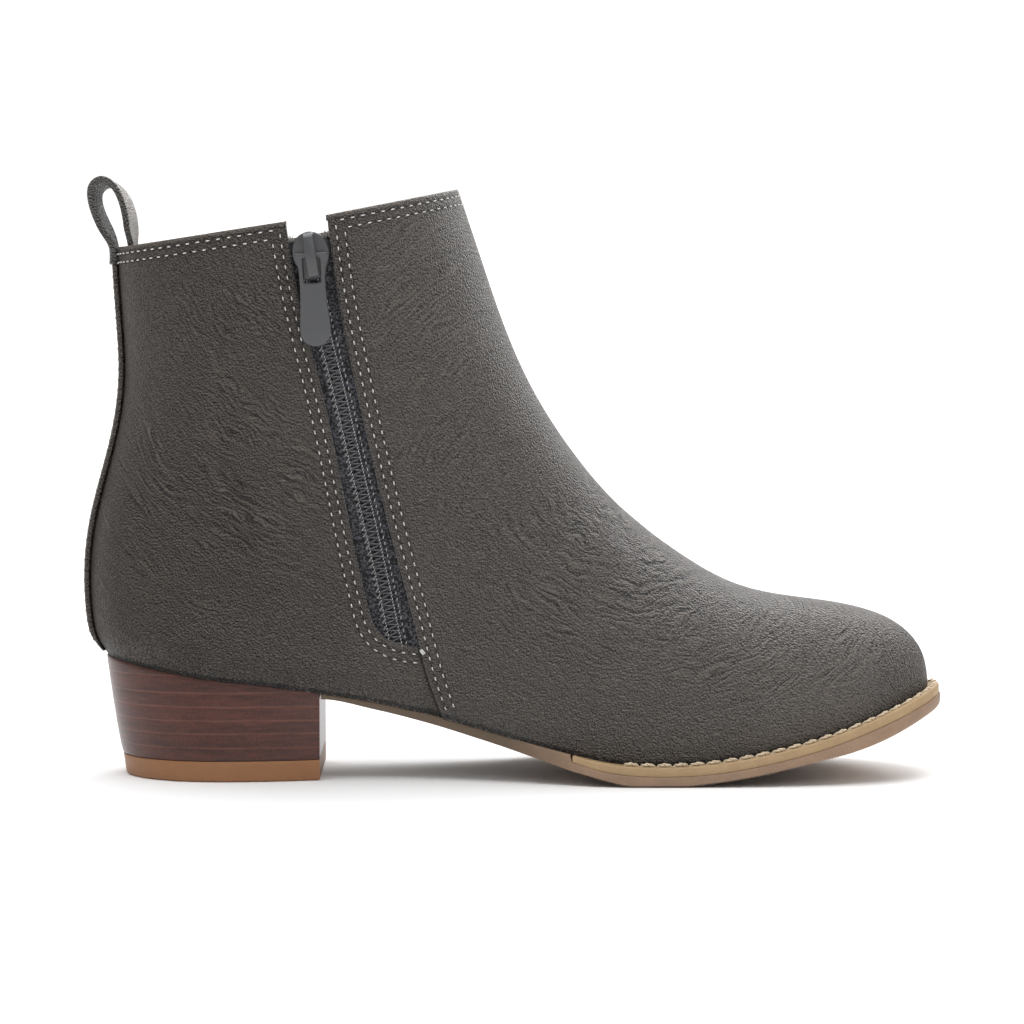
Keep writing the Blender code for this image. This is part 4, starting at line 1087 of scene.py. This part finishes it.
def make_lining():
    """Lining inside both panels, open behind the zip."""
    levels = np.linspace(0.0, 1.0, 90)
    back_part = np.linspace(0, 1, 36) ** 1.8
    front_part = 1 - (1 - np.linspace(0, 1, 36)[1:]) ** 1.6
    rows = []
    for level in levels:
        row = []
        for side in (INNER, OUTER):
            quarter_row = quarter_place(back_part, np.full(36, level), side)
            front_row = front_place(front_part, np.full(35, level), side)
            flat = np.vstack([quarter_row, front_row])
            y = skin(flat[:, 0], flat[:, 1], side)
            y[0], y[-1] = ridge(flat[0, 0]), ridge(flat[-1, 0])
            one_side = np.column_stack([flat[:, 0], y, flat[:, 1]])
            row.append(one_side if side == INNER else one_side[-2:0:-1])
        rows.append(np.vstack(row))
    grid = np.array(rows)
    around = np.roll(grid, -1, axis=1) - np.roll(grid, 1, axis=1)
    normal = np.cross(around, np.gradient(grid, axis=0))
    normal = unit(normal)
    places = grid - normal * (LINING_DEPTH + 0.15)
    places[-1, :, 2] -= 1.0
    verts = places.reshape(-1, 3)
    middle_x, middle_z = grid[..., 0].ravel(), grid[..., 2].ravel()
    inner_side = grid[..., 1].ravel() <= ridge(middle_x)
    flat = np.column_stack([middle_x, middle_z])
    in_slot = (slot_distance(flat, INNER) < 1.5) & (seam_distance(flat) < 1.0)
    open_slot = in_slot & inner_side
    faces = [face for face in grid_faces(len(levels), grid.shape[1], closed=True)
             if not any(open_slot[i] for i in face)]
    return thicken(mesh_object("lining", verts, faces, lining_cloth), LINING, 0.0)


dress(make_lining(), "insole_sock", "upper")


def sole_outline(x, side, inset):
    """Sideways place of the upper's lower edge."""
    return ridge(np.minimum(x, TOE_X)) + side * (low_width(x, side) - tuck(x) - inset) * toe_round(x)


def make_sock():
    """Insole sock over the insole board."""
    inset = 3.4
    start, end = BACK_LINE[0][0] + inset, TOE_X - inset
    stations = start + (end - start) * (1 - np.cos(np.linspace(0, math.pi, 90))) / 2
    sections = []
    for x in stations:
        rounding = float(round_end((x - start + 0.02) / BACK_ROUNDING))
        close = float(toe_round(x, end + 0.05) / max(float(toe_round(x)), 1e-3))
        sides = [float(sole_outline(x, side, inset)) for side in (INNER, OUTER)]
        middle = sum(sides) / 2
        half = (sides[1] - sides[0]) / 2 * rounding * min(close, 1.0)
        across = np.linspace(-1, 1, 15)
        dish = 0.9 * np.abs(across) ** 3
        top = float(feather(x)) + 2.2
        row = [(x, middle + half * a, top + rise) for a, rise in zip(across, dish)]
        row += [(x, middle + half * a, top + rise - 0.9) for a, rise in zip(across[::-1], dish[::-1])]
        sections.append(row)
    return loft("insole_sock", sections, sock_cloth)


dress(make_sock(), "insole_sock", "insole")

# Stitching of the upper

leather_surface = Surface([quarter, vamp])


def along_collar(place, shares, side, distance):
    """Line at a distance below the collar."""
    levels = np.linspace(0.9, 1.0, 60)
    line = []
    for share in shares:
        flat = place(np.full(60, share), levels, side)
        below = collar_distance(flat, side)
        level = np.interp(-distance, -below, levels)
        x, z = place(np.array([share]), np.array([level]), side)[0]
        on_ridge = share == (0.0 if place is quarter_place else 1.0)
        line.append((x, float(ridge(x) if on_ridge else skin(x, z, side)), z))
    return line


def side_line(flat, side=INNER):
    flat = np.asarray(flat)
    return np.column_stack([flat[:, 0], skin(flat[:, 0], flat[:, 1], side), flat[:, 1]])


def upper_rows():
    """All stitch rows of the upper as lines in space."""
    rows = []
    for distance in (NEAR_ROW, FAR_ROW):
        slot_row = slot_outline(distance)
        fine = Line(slot_row).at(np.linspace(0, 1, 300))
        inside = (collar_distance(fine, INNER) > distance) & (seam_distance(fine) < -0.6)
        rows.append(side_line(fine[inside]))
        edge = seam.at(np.linspace(0.005, 1, 200))
        ahead = np.gradient(edge, axis=0)
        ahead = unit(ahead)
        shifted = edge + np.stack([ahead[:, 1], -ahead[:, 0]], axis=1) * distance
        for side in (INNER, OUTER):
            below = collar_distance(shifted, side) > distance
            above = shifted[:, 1] > feather(shifted[:, 0]) + 0.8
            rows.append(side_line(shifted[below & above], side))
        back_shares = np.linspace(0, 1, 120) ** 2
        front_part = np.linspace(0, 1, 100)
        for side in (INNER, OUTER):
            line = np.array(along_collar(quarter_place, back_shares, side, distance))
            limit = distance if side == INNER else -50.0
            keep = slot_distance(line[:, [0, 2]], side) > limit
            keep &= seam_distance(line[:, [0, 2]]) < -0.8
            rows.append(line[keep])
            line = np.array(along_collar(front_place, 1 - (1 - front_part) ** 1.7, side, distance))
            rows.append(line[seam_distance(line[:, [0, 2]]) > distance])
    return rows


# Ends of the bar tack at the foot of the zip, in the side view
BAR_TACK = [(62.2, 40.6), (63.2, 39.3)]


def make_upper_stitching():
    runs, holes = [], []
    for shift in (-0.3, 0.0, 0.3):
        tack = np.linspace(*BAR_TACK, 7) + np.array([shift, shift * 0.6])
        runs.append(on_skin(tack[:, 0], tack[:, 1], [0.1, -0.3, -0.45, -0.5, -0.45, -0.3, 0.1])[0])
    for line in upper_rows():
        made, marks = stitch_row(line, leather_surface)
        runs += made
        holes += marks
    threads = tubes("upper_stitching", runs, THREAD_RADIUS, thread_grey)
    marks = hole_marks("upper_needle_holes", holes, painted_hole_shade)
    return dress(threads, "grey_leather"), dress(marks, "grey_leather")


make_upper_stitching()

# Zip


def zip_places(share, across, depth):
    """Points of the zip: share of its length, distance across it and depth under the outer face."""
    share, across, depth = np.broadcast_arrays(share, across, depth)
    middle = zip_middle.at(share)
    ahead = zip_middle.at(np.minimum(share + 0.01, 1)) - zip_middle.at(np.maximum(share - 0.01, 0))
    ahead /= np.linalg.norm(ahead, axis=-1, keepdims=True)
    x = middle[..., 0] + ahead[..., 1] * across
    z = middle[..., 1] - ahead[..., 0] * across
    points, _ = on_skin(x, z, depth)
    return points


def make_zip_tape():
    share = np.linspace(0, 1, 150)[:, None]
    across = np.linspace(-11.5, 11.5, 36)[None, :]
    cord = 0.12 * np.exp(-((np.abs(across) - 3.9) / 0.5) ** 2)
    grid = zip_places(share, across, 2.75 - cord + 0 * share)
    made = mesh_object("zip_tape", grid.reshape(-1, 3), grid_faces(150, 36), tape_cloth)
    return thicken(made, 0.5, 1.0)


COIL_PITCH = 1.95
COIL_SHIFT = -0.6
COIL_OFFSET = 0.35
COIL_HALF = 1.55
COIL_DEPTH = 1.45
COIL_HALF_DEPTH = 0.6
COIL_RADIUS = 0.19
COIL_SPAN = (0.015, 0.93)
# Stitches on the coil: places along and across at both ends, depth, radius, stitches in one coil pitch
ZIP_STITCHES = [
    (-0.30, -1.90, 0.22, -1.60, 0.62, 0.13, 2), (-0.30, 1.60, 0.22, 1.90, 0.62, 0.14, 2),
    (-0.50, -2.90, 0.35, -2.05, 1.00, 0.08, 1), (-0.60, -2.60, -0.10, -2.00, 0.90, 0.07, 1),
    (-0.32, 3.00, 0.34, 3.20, 1.20, 0.18, 1)]


def make_coil():
    """Two flattened spirals whose turns pass between each other."""
    length = zip_middle.length * (COIL_SPAN[1] - COIL_SPAN[0])
    turns = int(length / COIL_PITCH)
    runs = []
    for side in (-1, 1):
        angle = np.linspace(0, turns * 2 * math.pi, turns * 16 + 1)
        turn = angle / (2 * math.pi) + (0.5 if side > 0 else 0.0)
        share = COIL_SPAN[0] + turn * COIL_PITCH / zip_middle.length
        across = COIL_SHIFT + side * (COIL_OFFSET + COIL_HALF * np.cos(angle))
        depth = COIL_DEPTH - COIL_HALF_DEPTH * np.sin(angle)
        runs.append(zip_places(share, across, depth))
    return tubes("zip_coil", runs, COIL_RADIUS, coil_plastic)


def make_zip_threads():
    """Sewing threads that hold the coil on the tape, as rows of short stitches."""
    length = zip_middle.length * (COIL_SPAN[1] - COIL_SPAN[0])
    bow = np.sin(np.linspace(0, math.pi, 5)) * 0.25
    runs_of = {}
    for along_0, across_0, along_1, across_1, depth, radius, in_pitch in ZIP_STITCHES:
        pitch = COIL_PITCH / in_pitch
        for number in range(int(length / pitch)):
            along = np.linspace(along_0, along_1, 5) + (number + 0.5) * pitch
            across = np.linspace(across_0, across_1, 5) + COIL_SHIFT
            places = zip_places(COIL_SPAN[0] + along / zip_middle.length, across, depth - bow)
            runs_of.setdefault(radius, []).append(places)
    return [tubes(f"zip_threads_{round(radius * 100)}", runs, radius, thread_zip, sides=5)
            for radius, runs in runs_of.items()]


def make_tape_fuzz():
    """Loose yarn ends where the tape is cut off behind the collar."""
    rng = np.random.default_rng(5)
    runs = []
    for start, end, count in ((-8.5, -4.6, 46), (4.6, 7.6, 30)):
        for _ in range(count):
            across = rng.uniform(start, end)
            rise = rng.uniform(0.6, 2.6)
            sway = rng.uniform(-0.9, 0.9)
            t = np.linspace(0, 1, 5)
            root = zip_places(1.0, across, 2.4 - 0.8 * rng.uniform())
            run = root + np.column_stack([sway * t ** 2, rng.uniform(-0.5, 0.3) * t, -0.5 + rise * t])
            runs.append(run)
    return tubes("tape_fuzz", runs, 0.07, fuzz_thread, sides=4)


dress(make_zip_tape(), "zip_tape_cloth", "zip_tape")
dress(make_coil(), "zip_coil_plastic", "zip_coil")
for threads in make_zip_threads():
    dress(threads, "zip_tape_cloth")
dress(make_tape_fuzz(), "zip_tape_cloth")

HINGE_SIDE_VIEW = (29.3, 161.4)
SLIDER_LEAN, TAB_LEAN = math.radians(8.5), math.radians(3.5)
HINGE_LIFT = 3.0


def hinge_frame(lean, lift):
    """Frame at the tab's hinge: X across the zip, Y up along it, Z out of the leather."""
    points, normals = on_skin(*HINGE_SIDE_VIEW, -lift)
    out = Vector(normals)
    up = Vector((-math.sin(lean), 0.0, math.cos(lean)))
    up = (up - out * up.dot(out)).normalized()
    across = up.cross(out)
    frame = Matrix((across, up, out)).transposed().to_4x4()
    frame.translation = Vector(points) * MM
    return frame


def plate(name, outlines, thickness, bevel):
    """Mesh of flat outlines with rounded rims, the first solid and the others holes."""
    curve = bpy.data.curves.new(name, "CURVE")
    curve.dimensions = "2D"
    curve.fill_mode = "BOTH"
    curve.extrude = (thickness / 2 - bevel) * MM
    curve.bevel_depth = bevel * MM
    curve.bevel_resolution = 3
    curve.offset = -bevel * MM
    for outline in outlines:
        spline = curve.splines.new("POLY")
        spline.points.add(len(outline) - 1)
        for point, (a, b) in zip(spline.points, outline):
            point.co = (a * MM, b * MM, 0.0, 1.0)
        spline.use_cyclic_u = True
    holder = placed(name + "_outline", curve)
    bpy.context.view_layer.update()
    evaluated = holder.evaluated_get(bpy.context.evaluated_depsgraph_get())
    mesh = bpy.data.meshes.new_from_object(evaluated)
    bpy.data.objects.remove(holder)
    work = bmesh.new()
    work.from_mesh(mesh)
    bmesh.ops.remove_doubles(work, verts=work.verts, dist=0.000005)
    bmesh.ops.recalc_face_normals(work, faces=work.faces)
    work.to_mesh(mesh)
    work.free()
    return mesh


def rounded_block(name, size, centre, bevel):
    work = bmesh.new()
    bmesh.ops.create_cube(work, size=1.0)
    bmesh.ops.scale(work, verts=work.verts, vec=[s * MM for s in size])
    bmesh.ops.translate(work, verts=work.verts, vec=[c * MM for c in centre])
    bmesh.ops.bevel(work, geom=work.edges[:], offset=bevel * MM, segments=3, profile=0.5, affect="EDGES")
    mesh = bpy.data.meshes.new(name)
    work.to_mesh(mesh)
    work.free()
    return mesh


def joined(name, meshes, finish):
    """One object from several meshes that already lie in place."""
    work = bmesh.new()
    for mesh in meshes:
        work.from_mesh(mesh)
    mesh = bpy.data.meshes.new(name)
    work.to_mesh(mesh)
    work.free()
    mesh.materials.clear()
    mesh.materials.append(finish)
    mesh.polygons.foreach_set("material_index", [0] * len(mesh.polygons))
    mesh.shade_smooth()
    mesh.set_sharp_from_angle(angle=math.radians(35))
    return placed(name, mesh)


def smooth_outline(points, count):
    """Closed outline through points with a rounded course."""
    points = np.array(points, float)
    rows = np.vstack([points[-3:], points, points[:3]])
    chord = np.concatenate([[0], np.cumsum(np.hypot(*np.diff(rows, axis=0).T))])
    places = np.linspace(chord[3], chord[3 + len(points)], count + 1)[:-1]
    x = monotone(list(zip(chord, rows[:, 0])))(places)
    z = monotone(list(zip(chord, rows[:, 1])))(places)
    return list(zip(x, z))


def mirrored(half):
    """Closed outline from the points of its right half, top to bottom."""
    return list(half) + [(-a, b) for a, b in reversed(half) if a > 0]


def arc(centre, radius, start, end, count):
    """Points of an arc, angles in degrees."""
    angles = np.radians(np.linspace(start, end, count + 1))
    return [(centre[0] + radius * math.cos(a), centre[1] + radius * math.sin(a)) for a in angles]


def make_slider():
    placing = hinge_frame(SLIDER_LEAN, 0.0)
    crown = mirrored([(0.0, 7.2), (2.2, 6.7), (4.1, 5.2), (5.2, 2.9), (5.5, 0.4), (5.2, -1.4),
                      (4.0, -4.2), (3.4, -6.6), (2.6, -7.4), (0.0, -7.4)])
    body = plate("slider_crown", [smooth_outline(crown, 90)], 1.8, 0.5)
    body.transform(Matrix.Translation((0, 0, 1.0 * MM)))
    meshes = [body]
    for side in (-1, 1):
        meshes.append(rounded_block("flange", (0.9, 5.4, 2.6), (side * 4.45, 0.2, -0.6), 0.25))
    outside = [(6.9, 1.2), (6.9, 3.6), (6.4, 4.5), (5.4, 5.2), (-5.2, 5.2), (-6.3, 4.8), (-6.7, 3.9),
               (-6.7, 1.2)]
    inside = [(5.7, 1.2), (5.7, 3.3), (4.9, 4.1), (-4.7, 4.1), (-5.5, 3.4), (-5.5, 1.2)]
    bridge = plate("bridge", [outside + list(reversed(inside))], 3.2, 0.35)
    onto_edge = Matrix(((0, 0, 1, 0), (1, 0, 0, 0), (0, 1, 0, 0), (0, 0, 0, 1)))
    bridge.transform(onto_edge)
    meshes.append(bridge)
    for mesh in meshes:
        mesh.transform(placing)
    return joined("zip_slider", meshes, enamel)


def make_tab():
    placing = hinge_frame(TAB_LEAN, HINGE_LIFT)
    bar = 0.75
    outline = mirrored([(0.0, bar), (4.6, bar), (5.0, 0.5), (5.1, 0.0), (4.9, -0.9), (4.3, -2.2),
                        (3.98, -4.0), (3.85, -9.0), (4.1, -15.0), (4.6, -20.5), (4.65, -23.2)]
                       + arc((0.0, -23.0), 4.6, -14, -90, 14))
    window = mirrored([(0.0, -bar), (2.3, -bar), (2.6, -1.1), (2.6, -7.6), (2.4, -8.1), (2.0, -8.3),
                       (0.0, -8.3)])
    mesh = plate("zip_pull", [outline, window], 1.4, 0.4)
    mesh.transform(placing)
    return joined("zip_pull", [mesh], enamel)


dress(make_slider(), "grey_enamel", "zip_slider")
dress(make_tab(), "grey_enamel", "zip_pull", body="pull_tab")

# Back strip and pull loop


def back_point(y, z, lift):
    """Point at a lift off the upper's back, at a sideways place y."""
    width = abs(float(skin(back.x_at_z(z) + BACK_ROUNDING, z, INNER)))
    fall = math.sqrt(1 - (y / width) ** 2)
    x = float(back.x_at_z(z)) + BACK_ROUNDING * (1 - fall)
    return (x - fall * lift, y + y / width * lift, z)


# Underside of the back strip: sideways place and lift, cut in below the edges
STRIP_UNDERSIDE = [
    (-6.0, 0.75), (-4.9, 0.6), (-4.6, 0.05), (-2.0, 0.05), (0.0, 0.05), (2.0, 0.05), (4.6, 0.05), (4.9, 0.6),
    (6.0, 0.75)]


def make_back_strip():
    half, low, high, thickness, edge = 6.0, 38.2, 157.8, 1.6, 0.6
    sections = []
    for z in np.linspace(low, high, 130):
        thick = thickness * (0.45 + 0.55 * smoothstep(37.0, 44.0, z))
        across = np.concatenate([[-half, -half + 0.1, -half + 0.3], np.linspace(-half + edge, half - edge, 15),
                                 [half - 0.3, half - 0.1, half]])
        near = np.clip((np.abs(across) - (half - edge)) / edge, 0, 1)
        top = GAP + thick - edge * (1 - np.sqrt(1 - near ** 2))
        under = [back_point(y, z, lift) for y, lift in STRIP_UNDERSIDE]
        over = [back_point(y, z, lift) for y, lift in zip(across[::-1], top[::-1])]
        sections.append(under + over)
    return loft("back_strip", sections, strip_leather, smooth=60.0)


def make_pull_loop():
    line = Line(LOOP_LINE)
    half, thick = LOOP_WIDTH / 2, LOOP_THICKNESS / 2
    round_off = 0.75
    corner = [(round_off * (1 - math.cos(a)), round_off * (1 - math.sin(a)))
              for a in np.radians([0, 22, 45, 68, 90])]
    lower = [(-half + a, -thick + b) for a, b in corner]
    lower += [(y, -thick) for y in np.linspace(-half + 1.5, half - 1.5, 9)]
    lower += [(half - a, -thick + b) for a, b in reversed(corner)]
    profile = lower + [(-y, -lift) for y, lift in lower]
    sections, tone_and_painted_light = [], []
    for share in np.linspace(0, 1, 170):
        x, z = line.at(share)
        ahead = line.at(min(share + 0.01, 1)) - line.at(max(share - 0.01, 0))
        ahead /= np.linalg.norm(ahead)
        free = float(smoothstep(162.0, 170.0, z))
        section = []
        for y, lift in profile:
            shift = y * LOOP_TWIST * free + y * y / (2 * BACK_ROUNDING) * (1 - free)
            drop = y * LOOP_SLANT * float(smoothstep(166.0, 183.0, z))
            section.append((x + ahead[1] * lift + shift, y, z - ahead[0] * lift - drop))
        sections.append(section)
        # Painted sheen on one flat face of the strand turned to the right, lighter along the rounded edges,
        # and darker over the rest
        turned_right = float(smoothstep(0.42, 0.56, share))
        for (_, lift), place in zip(profile, section):
            rim = 1.0 - abs(abs(lift) / thick - 0.8) / 0.2 if abs(place[1]) > half - 1.0 else 0.0
            tone_and_painted_light.append(0.75 * turned_right * (lift < -thick * 0.9) + 0.2 * max(rim, 0.0) - 0.33)
    made = loft("pull_loop", sections, loop_leather, smooth=60.0)
    store(made.data, "tone_and_painted_light", "FLOAT", np.array(tone_and_painted_light))
    return made


back_strip = dress(make_back_strip(), "dark_grey_leather", "back_strip")
pull_loop = dress(make_pull_loop(), "dark_grey_leather", "pull_loop")
strip_surface = Surface([back_strip])
strip_runs, strip_holes = [], []
for y in (-4.4, 4.4):
    strip_line = [back_point(y, z, 2.1) for z in np.linspace(40.0, 155.5, 120)]
    made_runs, made_holes = stitch_row(strip_line, strip_surface, lift=0.3)
    strip_runs += made_runs
    strip_holes += made_holes
across_loop = [back_point(y, 157.9, 2.45) for y in np.linspace(-6.0, 6.0, 41)]
strip_runs += [across_loop[i:i + 6] for i in range(0, 36, 9)]
dress(tubes("strip_stitching", strip_runs, THREAD_RADIUS, thread_grey), "dark_grey_leather")
dress(hole_marks("strip_needle_holes", strip_holes, painted_hole_shade), "dark_grey_leather")

# Welt, outsole, heel


def sole_edge(x, side, tip, grow):
    """Sideways place of the sole's edge, for an outline with its own tip and extra width."""
    reach = WELT_REACH * smoothstep(84.0, 118.0, x) - 0.4
    width = low_width(x, side) - tuck(x) + reach + grow
    return float(ridge(min(x, TOE_X)) + side * width * toe_round(x, tip))


def quarter_turn(count=5):
    """Steps of a rounded edge as shares of its radius: inwards and downwards."""
    return [(1 - math.sin(a), 1 - math.cos(a)) for a in np.linspace(0, math.pi / 2, count)]


def sole_layer(name, stations, tip, grow, top, bottom, top_round, low_round, finish):
    """Sole layer from stacked outlines; heights and edge roundings are functions of x."""
    inner = np.array([(x, sole_edge(x, INNER, tip, float(grow(x)))) for x in stations])
    outer = np.array([(x, sole_edge(x, OUTER, tip, float(grow(x)))) for x in stations])
    flat = np.vstack([inner, outer[::-1]])
    ahead = np.gradient(flat, axis=0)
    ahead = unit(ahead)
    inward = np.stack([-ahead[:, 1], ahead[:, 0]], axis=1)
    x = flat[:, 0]
    high, low = top(x), bottom(x)
    rings = []
    for inset, drop in quarter_turn():
        places = flat + inward * (inset * top_round(x))[:, None]
        rings.append(np.column_stack([places, high - drop * top_round(x)]))
    for inset, rise in reversed(quarter_turn()):
        places = flat + inward * (inset * low_round(x))[:, None]
        rings.append(np.column_stack([places, low + rise * low_round(x)]))
    return ring_solid(name, rings, finish)


def sole_stations(start, tip, count):
    """Places along the sole, closer together near the toe tip."""
    return start + (tip - 0.03 - start) * np.sin(math.pi / 2 * np.linspace(0, 1, count))


def make_welt():
    tip = TOE_X + WELT_TOE_REACH
    return sole_layer("welt", sole_stations(WELT_START_X, tip, 170), tip, lambda x: 0.0 * x,
                      lambda x: feather(x) - GAP, lambda x: feather(x) - GAP - welt_height(x),
                      lambda x: 0.6 + 0.5 * smoothstep(195.0, 216.0, x), lambda x: 0.15 + 0 * x, welt_rubber)


RIB_PITCH, RIB_DEPTH, RIB_END = 0.9, 0.6, 196.0


def make_outsole():
    tip = TOE_X + WELT_TOE_REACH + OUTSOLE_TOE_GROW
    step = WELT_START_X - 0.5

    def top(x):
        return feather(x) - GAP - (SOLE_JOINT + welt_height(x)) * smoothstep(step - 0.2, step + 0.2, x)

    def bottom(x):
        deep = RIB_DEPTH * smoothstep(step, step + 6.0, x) * smoothstep(RIB_END, RIB_END - 12.0, x)
        return ground(x) + deep * (0.5 + 0.5 * np.cos(2 * math.pi * (x - step) / RIB_PITCH))

    stations = np.concatenate([np.linspace(HEEL_BREAST_X + 0.4, step - 0.3, 60),
                               np.arange(step - 0.2, RIB_END, RIB_PITCH / 4),
                               sole_stations(RIB_END + 0.2, tip, 70)])
    return sole_layer("outsole", stations, tip, lambda x: OUTSOLE_GROW * smoothstep(108.0, 122.0, x), top,
                      bottom, lambda x: 0.6 - 0.35 * smoothstep(step - 1.0, step, x),
                      lambda x: 0.06 + 2.2 * smoothstep(196.0, 219.0, x), sole_rubber)


def heel_ring(share, z_of, inset, taper=0.0, count=44):
    """Outline of the heel at a share of its height, 0 at the floor and 1 at the seat.

    The taper draws in the sides and the rear, but not the breast.
    """
    seat_back = BACK_LINE[0][0] - 0.3
    rear = HEEL_FLOOR_BACK + (seat_back - HEEL_FLOOR_BACK) * share ** 0.8 + taper
    rounding = HEEL_FLOOR_ROUNDING + (BACK_ROUNDING - HEEL_FLOOR_ROUNDING) * share
    points = {INNER: [], OUTER: []}
    for side, floor_width in ((INNER, heel_inner), (OUTER, heel_outer)):
        for i in range(count + 1):
            x = HEEL_BREAST_X - inset + (rear - HEEL_BREAST_X + 2 * inset) * math.sin(math.pi / 2 * i / count)
            seat = float(low_width(x, side) - tuck(x)) - 0.4
            wide = float(floor_width(x))
            width = wide + (seat - wide) * share - inset - taper * 0.6
            y = side * width * float(round_end((x - rear - inset) / rounding))
            points[side].append((x, y, z_of(x)))
    return points[INNER][:-1] + list(reversed(points[OUTER]))


def ring_solid(name, rings, finish):
    """Closed solid through stacked rings whose halves mirror each other."""
    count = len(rings[0])
    verts = [point for ring in rings for point in ring]
    faces = grid_faces(len(rings), count, closed=True)
    for first in (0, (len(rings) - 1) * count):
        for i in range(count // 2):
            face = (first + i, first + i + 1, first + count - 2 - i, first + count - 1 - i)
            if len(set(face)) > 2:
                faces.append(tuple(dict.fromkeys(face)))
    return mesh_object(name, verts, faces, finish)


def make_heel():
    floor = TAP_HEIGHT + SOLE_JOINT
    rings = []
    middle = [(share, 0.0) for share in np.linspace(0.06, 0.97, 24)]
    for share, inset in [(0.0, 0.3), (0.012, 0.08), (0.03, 0.0)] + middle + [(0.988, 0.06), (1.0, 0.22)]:
        rings.append(heel_ring(share, lambda x: floor + (float(feather(x)) - GAP - floor) * share, inset))
    return ring_solid("heel", rings, heel_stack)


def make_heel_tap():
    rings = [heel_ring(0.0, lambda x, z=z: z, inset, 0.9 * (1 - z / TAP_HEIGHT))
             for z, inset in [(0.0, 0.55), (0.1, 0.25), (0.35, 0.06), (0.7, 0.0), (2.5, 0.0), (4.5, 0.0),
                              (6.0, 0.0), (TAP_HEIGHT, 0.12)]]
    return ring_solid("heel_tap", rings, tap_rubber)


dress(make_welt(), "tan_welt", "welt")
dress(make_outsole(), "tan_outsole", "outsole")
dress(make_heel(), "stacked_heel", "heel")
dress(make_heel_tap(), "heel_tap_rubber", "heel_tap")


def welt_line(offset):
    """Line round the forefoot at an offset from the upper's lower edge, inner side to outer side."""
    x = 124.0 + (TOE_X - 0.02 - 124.0) * np.sin(math.pi / 2 * np.linspace(0, 1, 240))
    inner = np.column_stack([x, sole_outline(x, INNER, 0.0)])
    outer = np.column_stack([x, sole_outline(x, OUTER, 0.0)])[::-1]
    flat = np.vstack([inner, outer])
    ahead = np.gradient(flat, axis=0)
    ahead = unit(ahead)
    moved = flat + np.stack([ahead[:, 1], -ahead[:, 0]], axis=1) * offset
    return np.column_stack([moved, feather(moved[:, 0]) - GAP])


def make_welt_stitching():
    """Thick two-ply stitches that arch over the crease between upper and welt."""
    near, far = resample(welt_line(0.5), 0.2), resample(welt_line(2.2), 0.2)
    count = int(len(near) * 0.2 / 4.9)
    runs, holes = [], []
    for number in range(count):
        share = (number + np.linspace(0.04, 0.96, 17)) / count
        along = np.linspace(0, 1, 17)
        places = []
        for part, t in zip(share, along):
            bow = math.sin(math.pi * t) ** 0.7
            a = near[min(int(part * (len(near) - 1)), len(near) - 1)]
            b = far[min(int(part * (len(far) - 1)), len(far) - 1)]
            place = a + (b - a) * (0.25 + 0.75 * bow)
            place[2] += -0.35 + 1.05 * bow
            places.append(place)
        places = np.array(places)
        ahead = np.gradient(places, axis=0)
        ahead = unit(ahead)
        across = np.cross(ahead, (0.0, 0.0, 1.0))
        across = unit(across)
        over = np.cross(ahead, across)
        for phase in (0.0, math.pi):
            turn = along * 2 * math.pi * 1.6 + phase
            runs.append(places + (across * np.cos(turn)[:, None] + over * np.sin(turn)[:, None]) * 0.27)
    return tubes("welt_stitching", runs, 0.33, thread_cream)


dress(make_welt_stitching(), "tan_welt")

# Camera, light and floor

camera_data = bpy.data.cameras.new("camera")
camera_data.lens = 170.1
camera_data.sensor_width = 36.0
camera_data.clip_end = 50.0
camera = placed("camera", camera_data)
camera.location = (0.09006, -1.5, 0.190)
camera.rotation_euler = (math.radians(90 - 4.16), 0.0, 0.0)
bpy.context.scene.camera = camera
bpy.context.scene.view_settings.view_transform = "Standard"

world = bpy.data.worlds.new("studio")
world.use_nodes = True
sky = world.node_tree
direction = sky.nodes.new("ShaderNodeTexCoord")
split = sky.nodes.new("ShaderNodeSeparateXYZ")
level = sky.nodes.new("ShaderNodeMapRange")
level.inputs["From Min"].default_value = 0.90
level.inputs["From Max"].default_value = 0.975
level.inputs["To Min"].default_value = 0.50
level.inputs["To Max"].default_value = 1.08
sky.nodes["Background"].inputs["Color"].default_value = (1.0, 1.0, 1.0, 1.0)
sky.links.new(direction.outputs["Generated"], split.inputs[0])
sky.links.new(split.outputs["Y"], level.inputs["Value"])
sky.links.new(level.outputs["Result"], sky.nodes["Background"].inputs["Strength"])
bpy.context.scene.world = world


def softbox(name, place, target, size, power):
    """Area light facing a target."""
    data = bpy.data.lights.new(name, "AREA")
    data.shape = "RECTANGLE"
    data.size, data.size_y = size
    data.energy = power
    lamp = placed(name, data)
    lamp.location = place
    lamp.rotation_euler = (Vector(target) - Vector(place)).to_track_quat("-Z", "Y").to_euler()


softbox("top_light", (0.0, 0.0, 1.35), (0.09, 0.0, 0.08), (1.8, 1.4), 25.0)
softbox("back_light", (0.60, 1.0, 0.95), (0.09, 0.0, 0.08), (1.0, 0.8), 11.0)
softbox("front_light", (0.45, -1.5, 0.95), (0.10, 0.0, 0.08), (0.9, 0.7), 2.0)

floor_material = material("floor", (0.93, 0.93, 0.93), 0.7)
n = Nodes(floor_material)
reach = n.add("ShaderNodeVectorMath", {0: n.space}, operation="LENGTH").outputs["Value"]
n.shader.inputs["Emission Color"].default_value = (1.0, 1.0, 1.0, 1.0)
n.put(n.shader.inputs["Emission Strength"], n.ramp(reach, 0.8, 1.8, 0.0, 0.8))
floor_mesh = bpy.data.meshes.new("floor")
floor_mesh.from_pydata([(-6, -4, 0), (6, -4, 0), (6, 14, 0), (-6, 14, 0)], [], [(0, 1, 2, 3)])
floor_mesh.materials.append(floor_material)
floor = placed("floor", floor_mesh)
floor.location.z = -0.0002
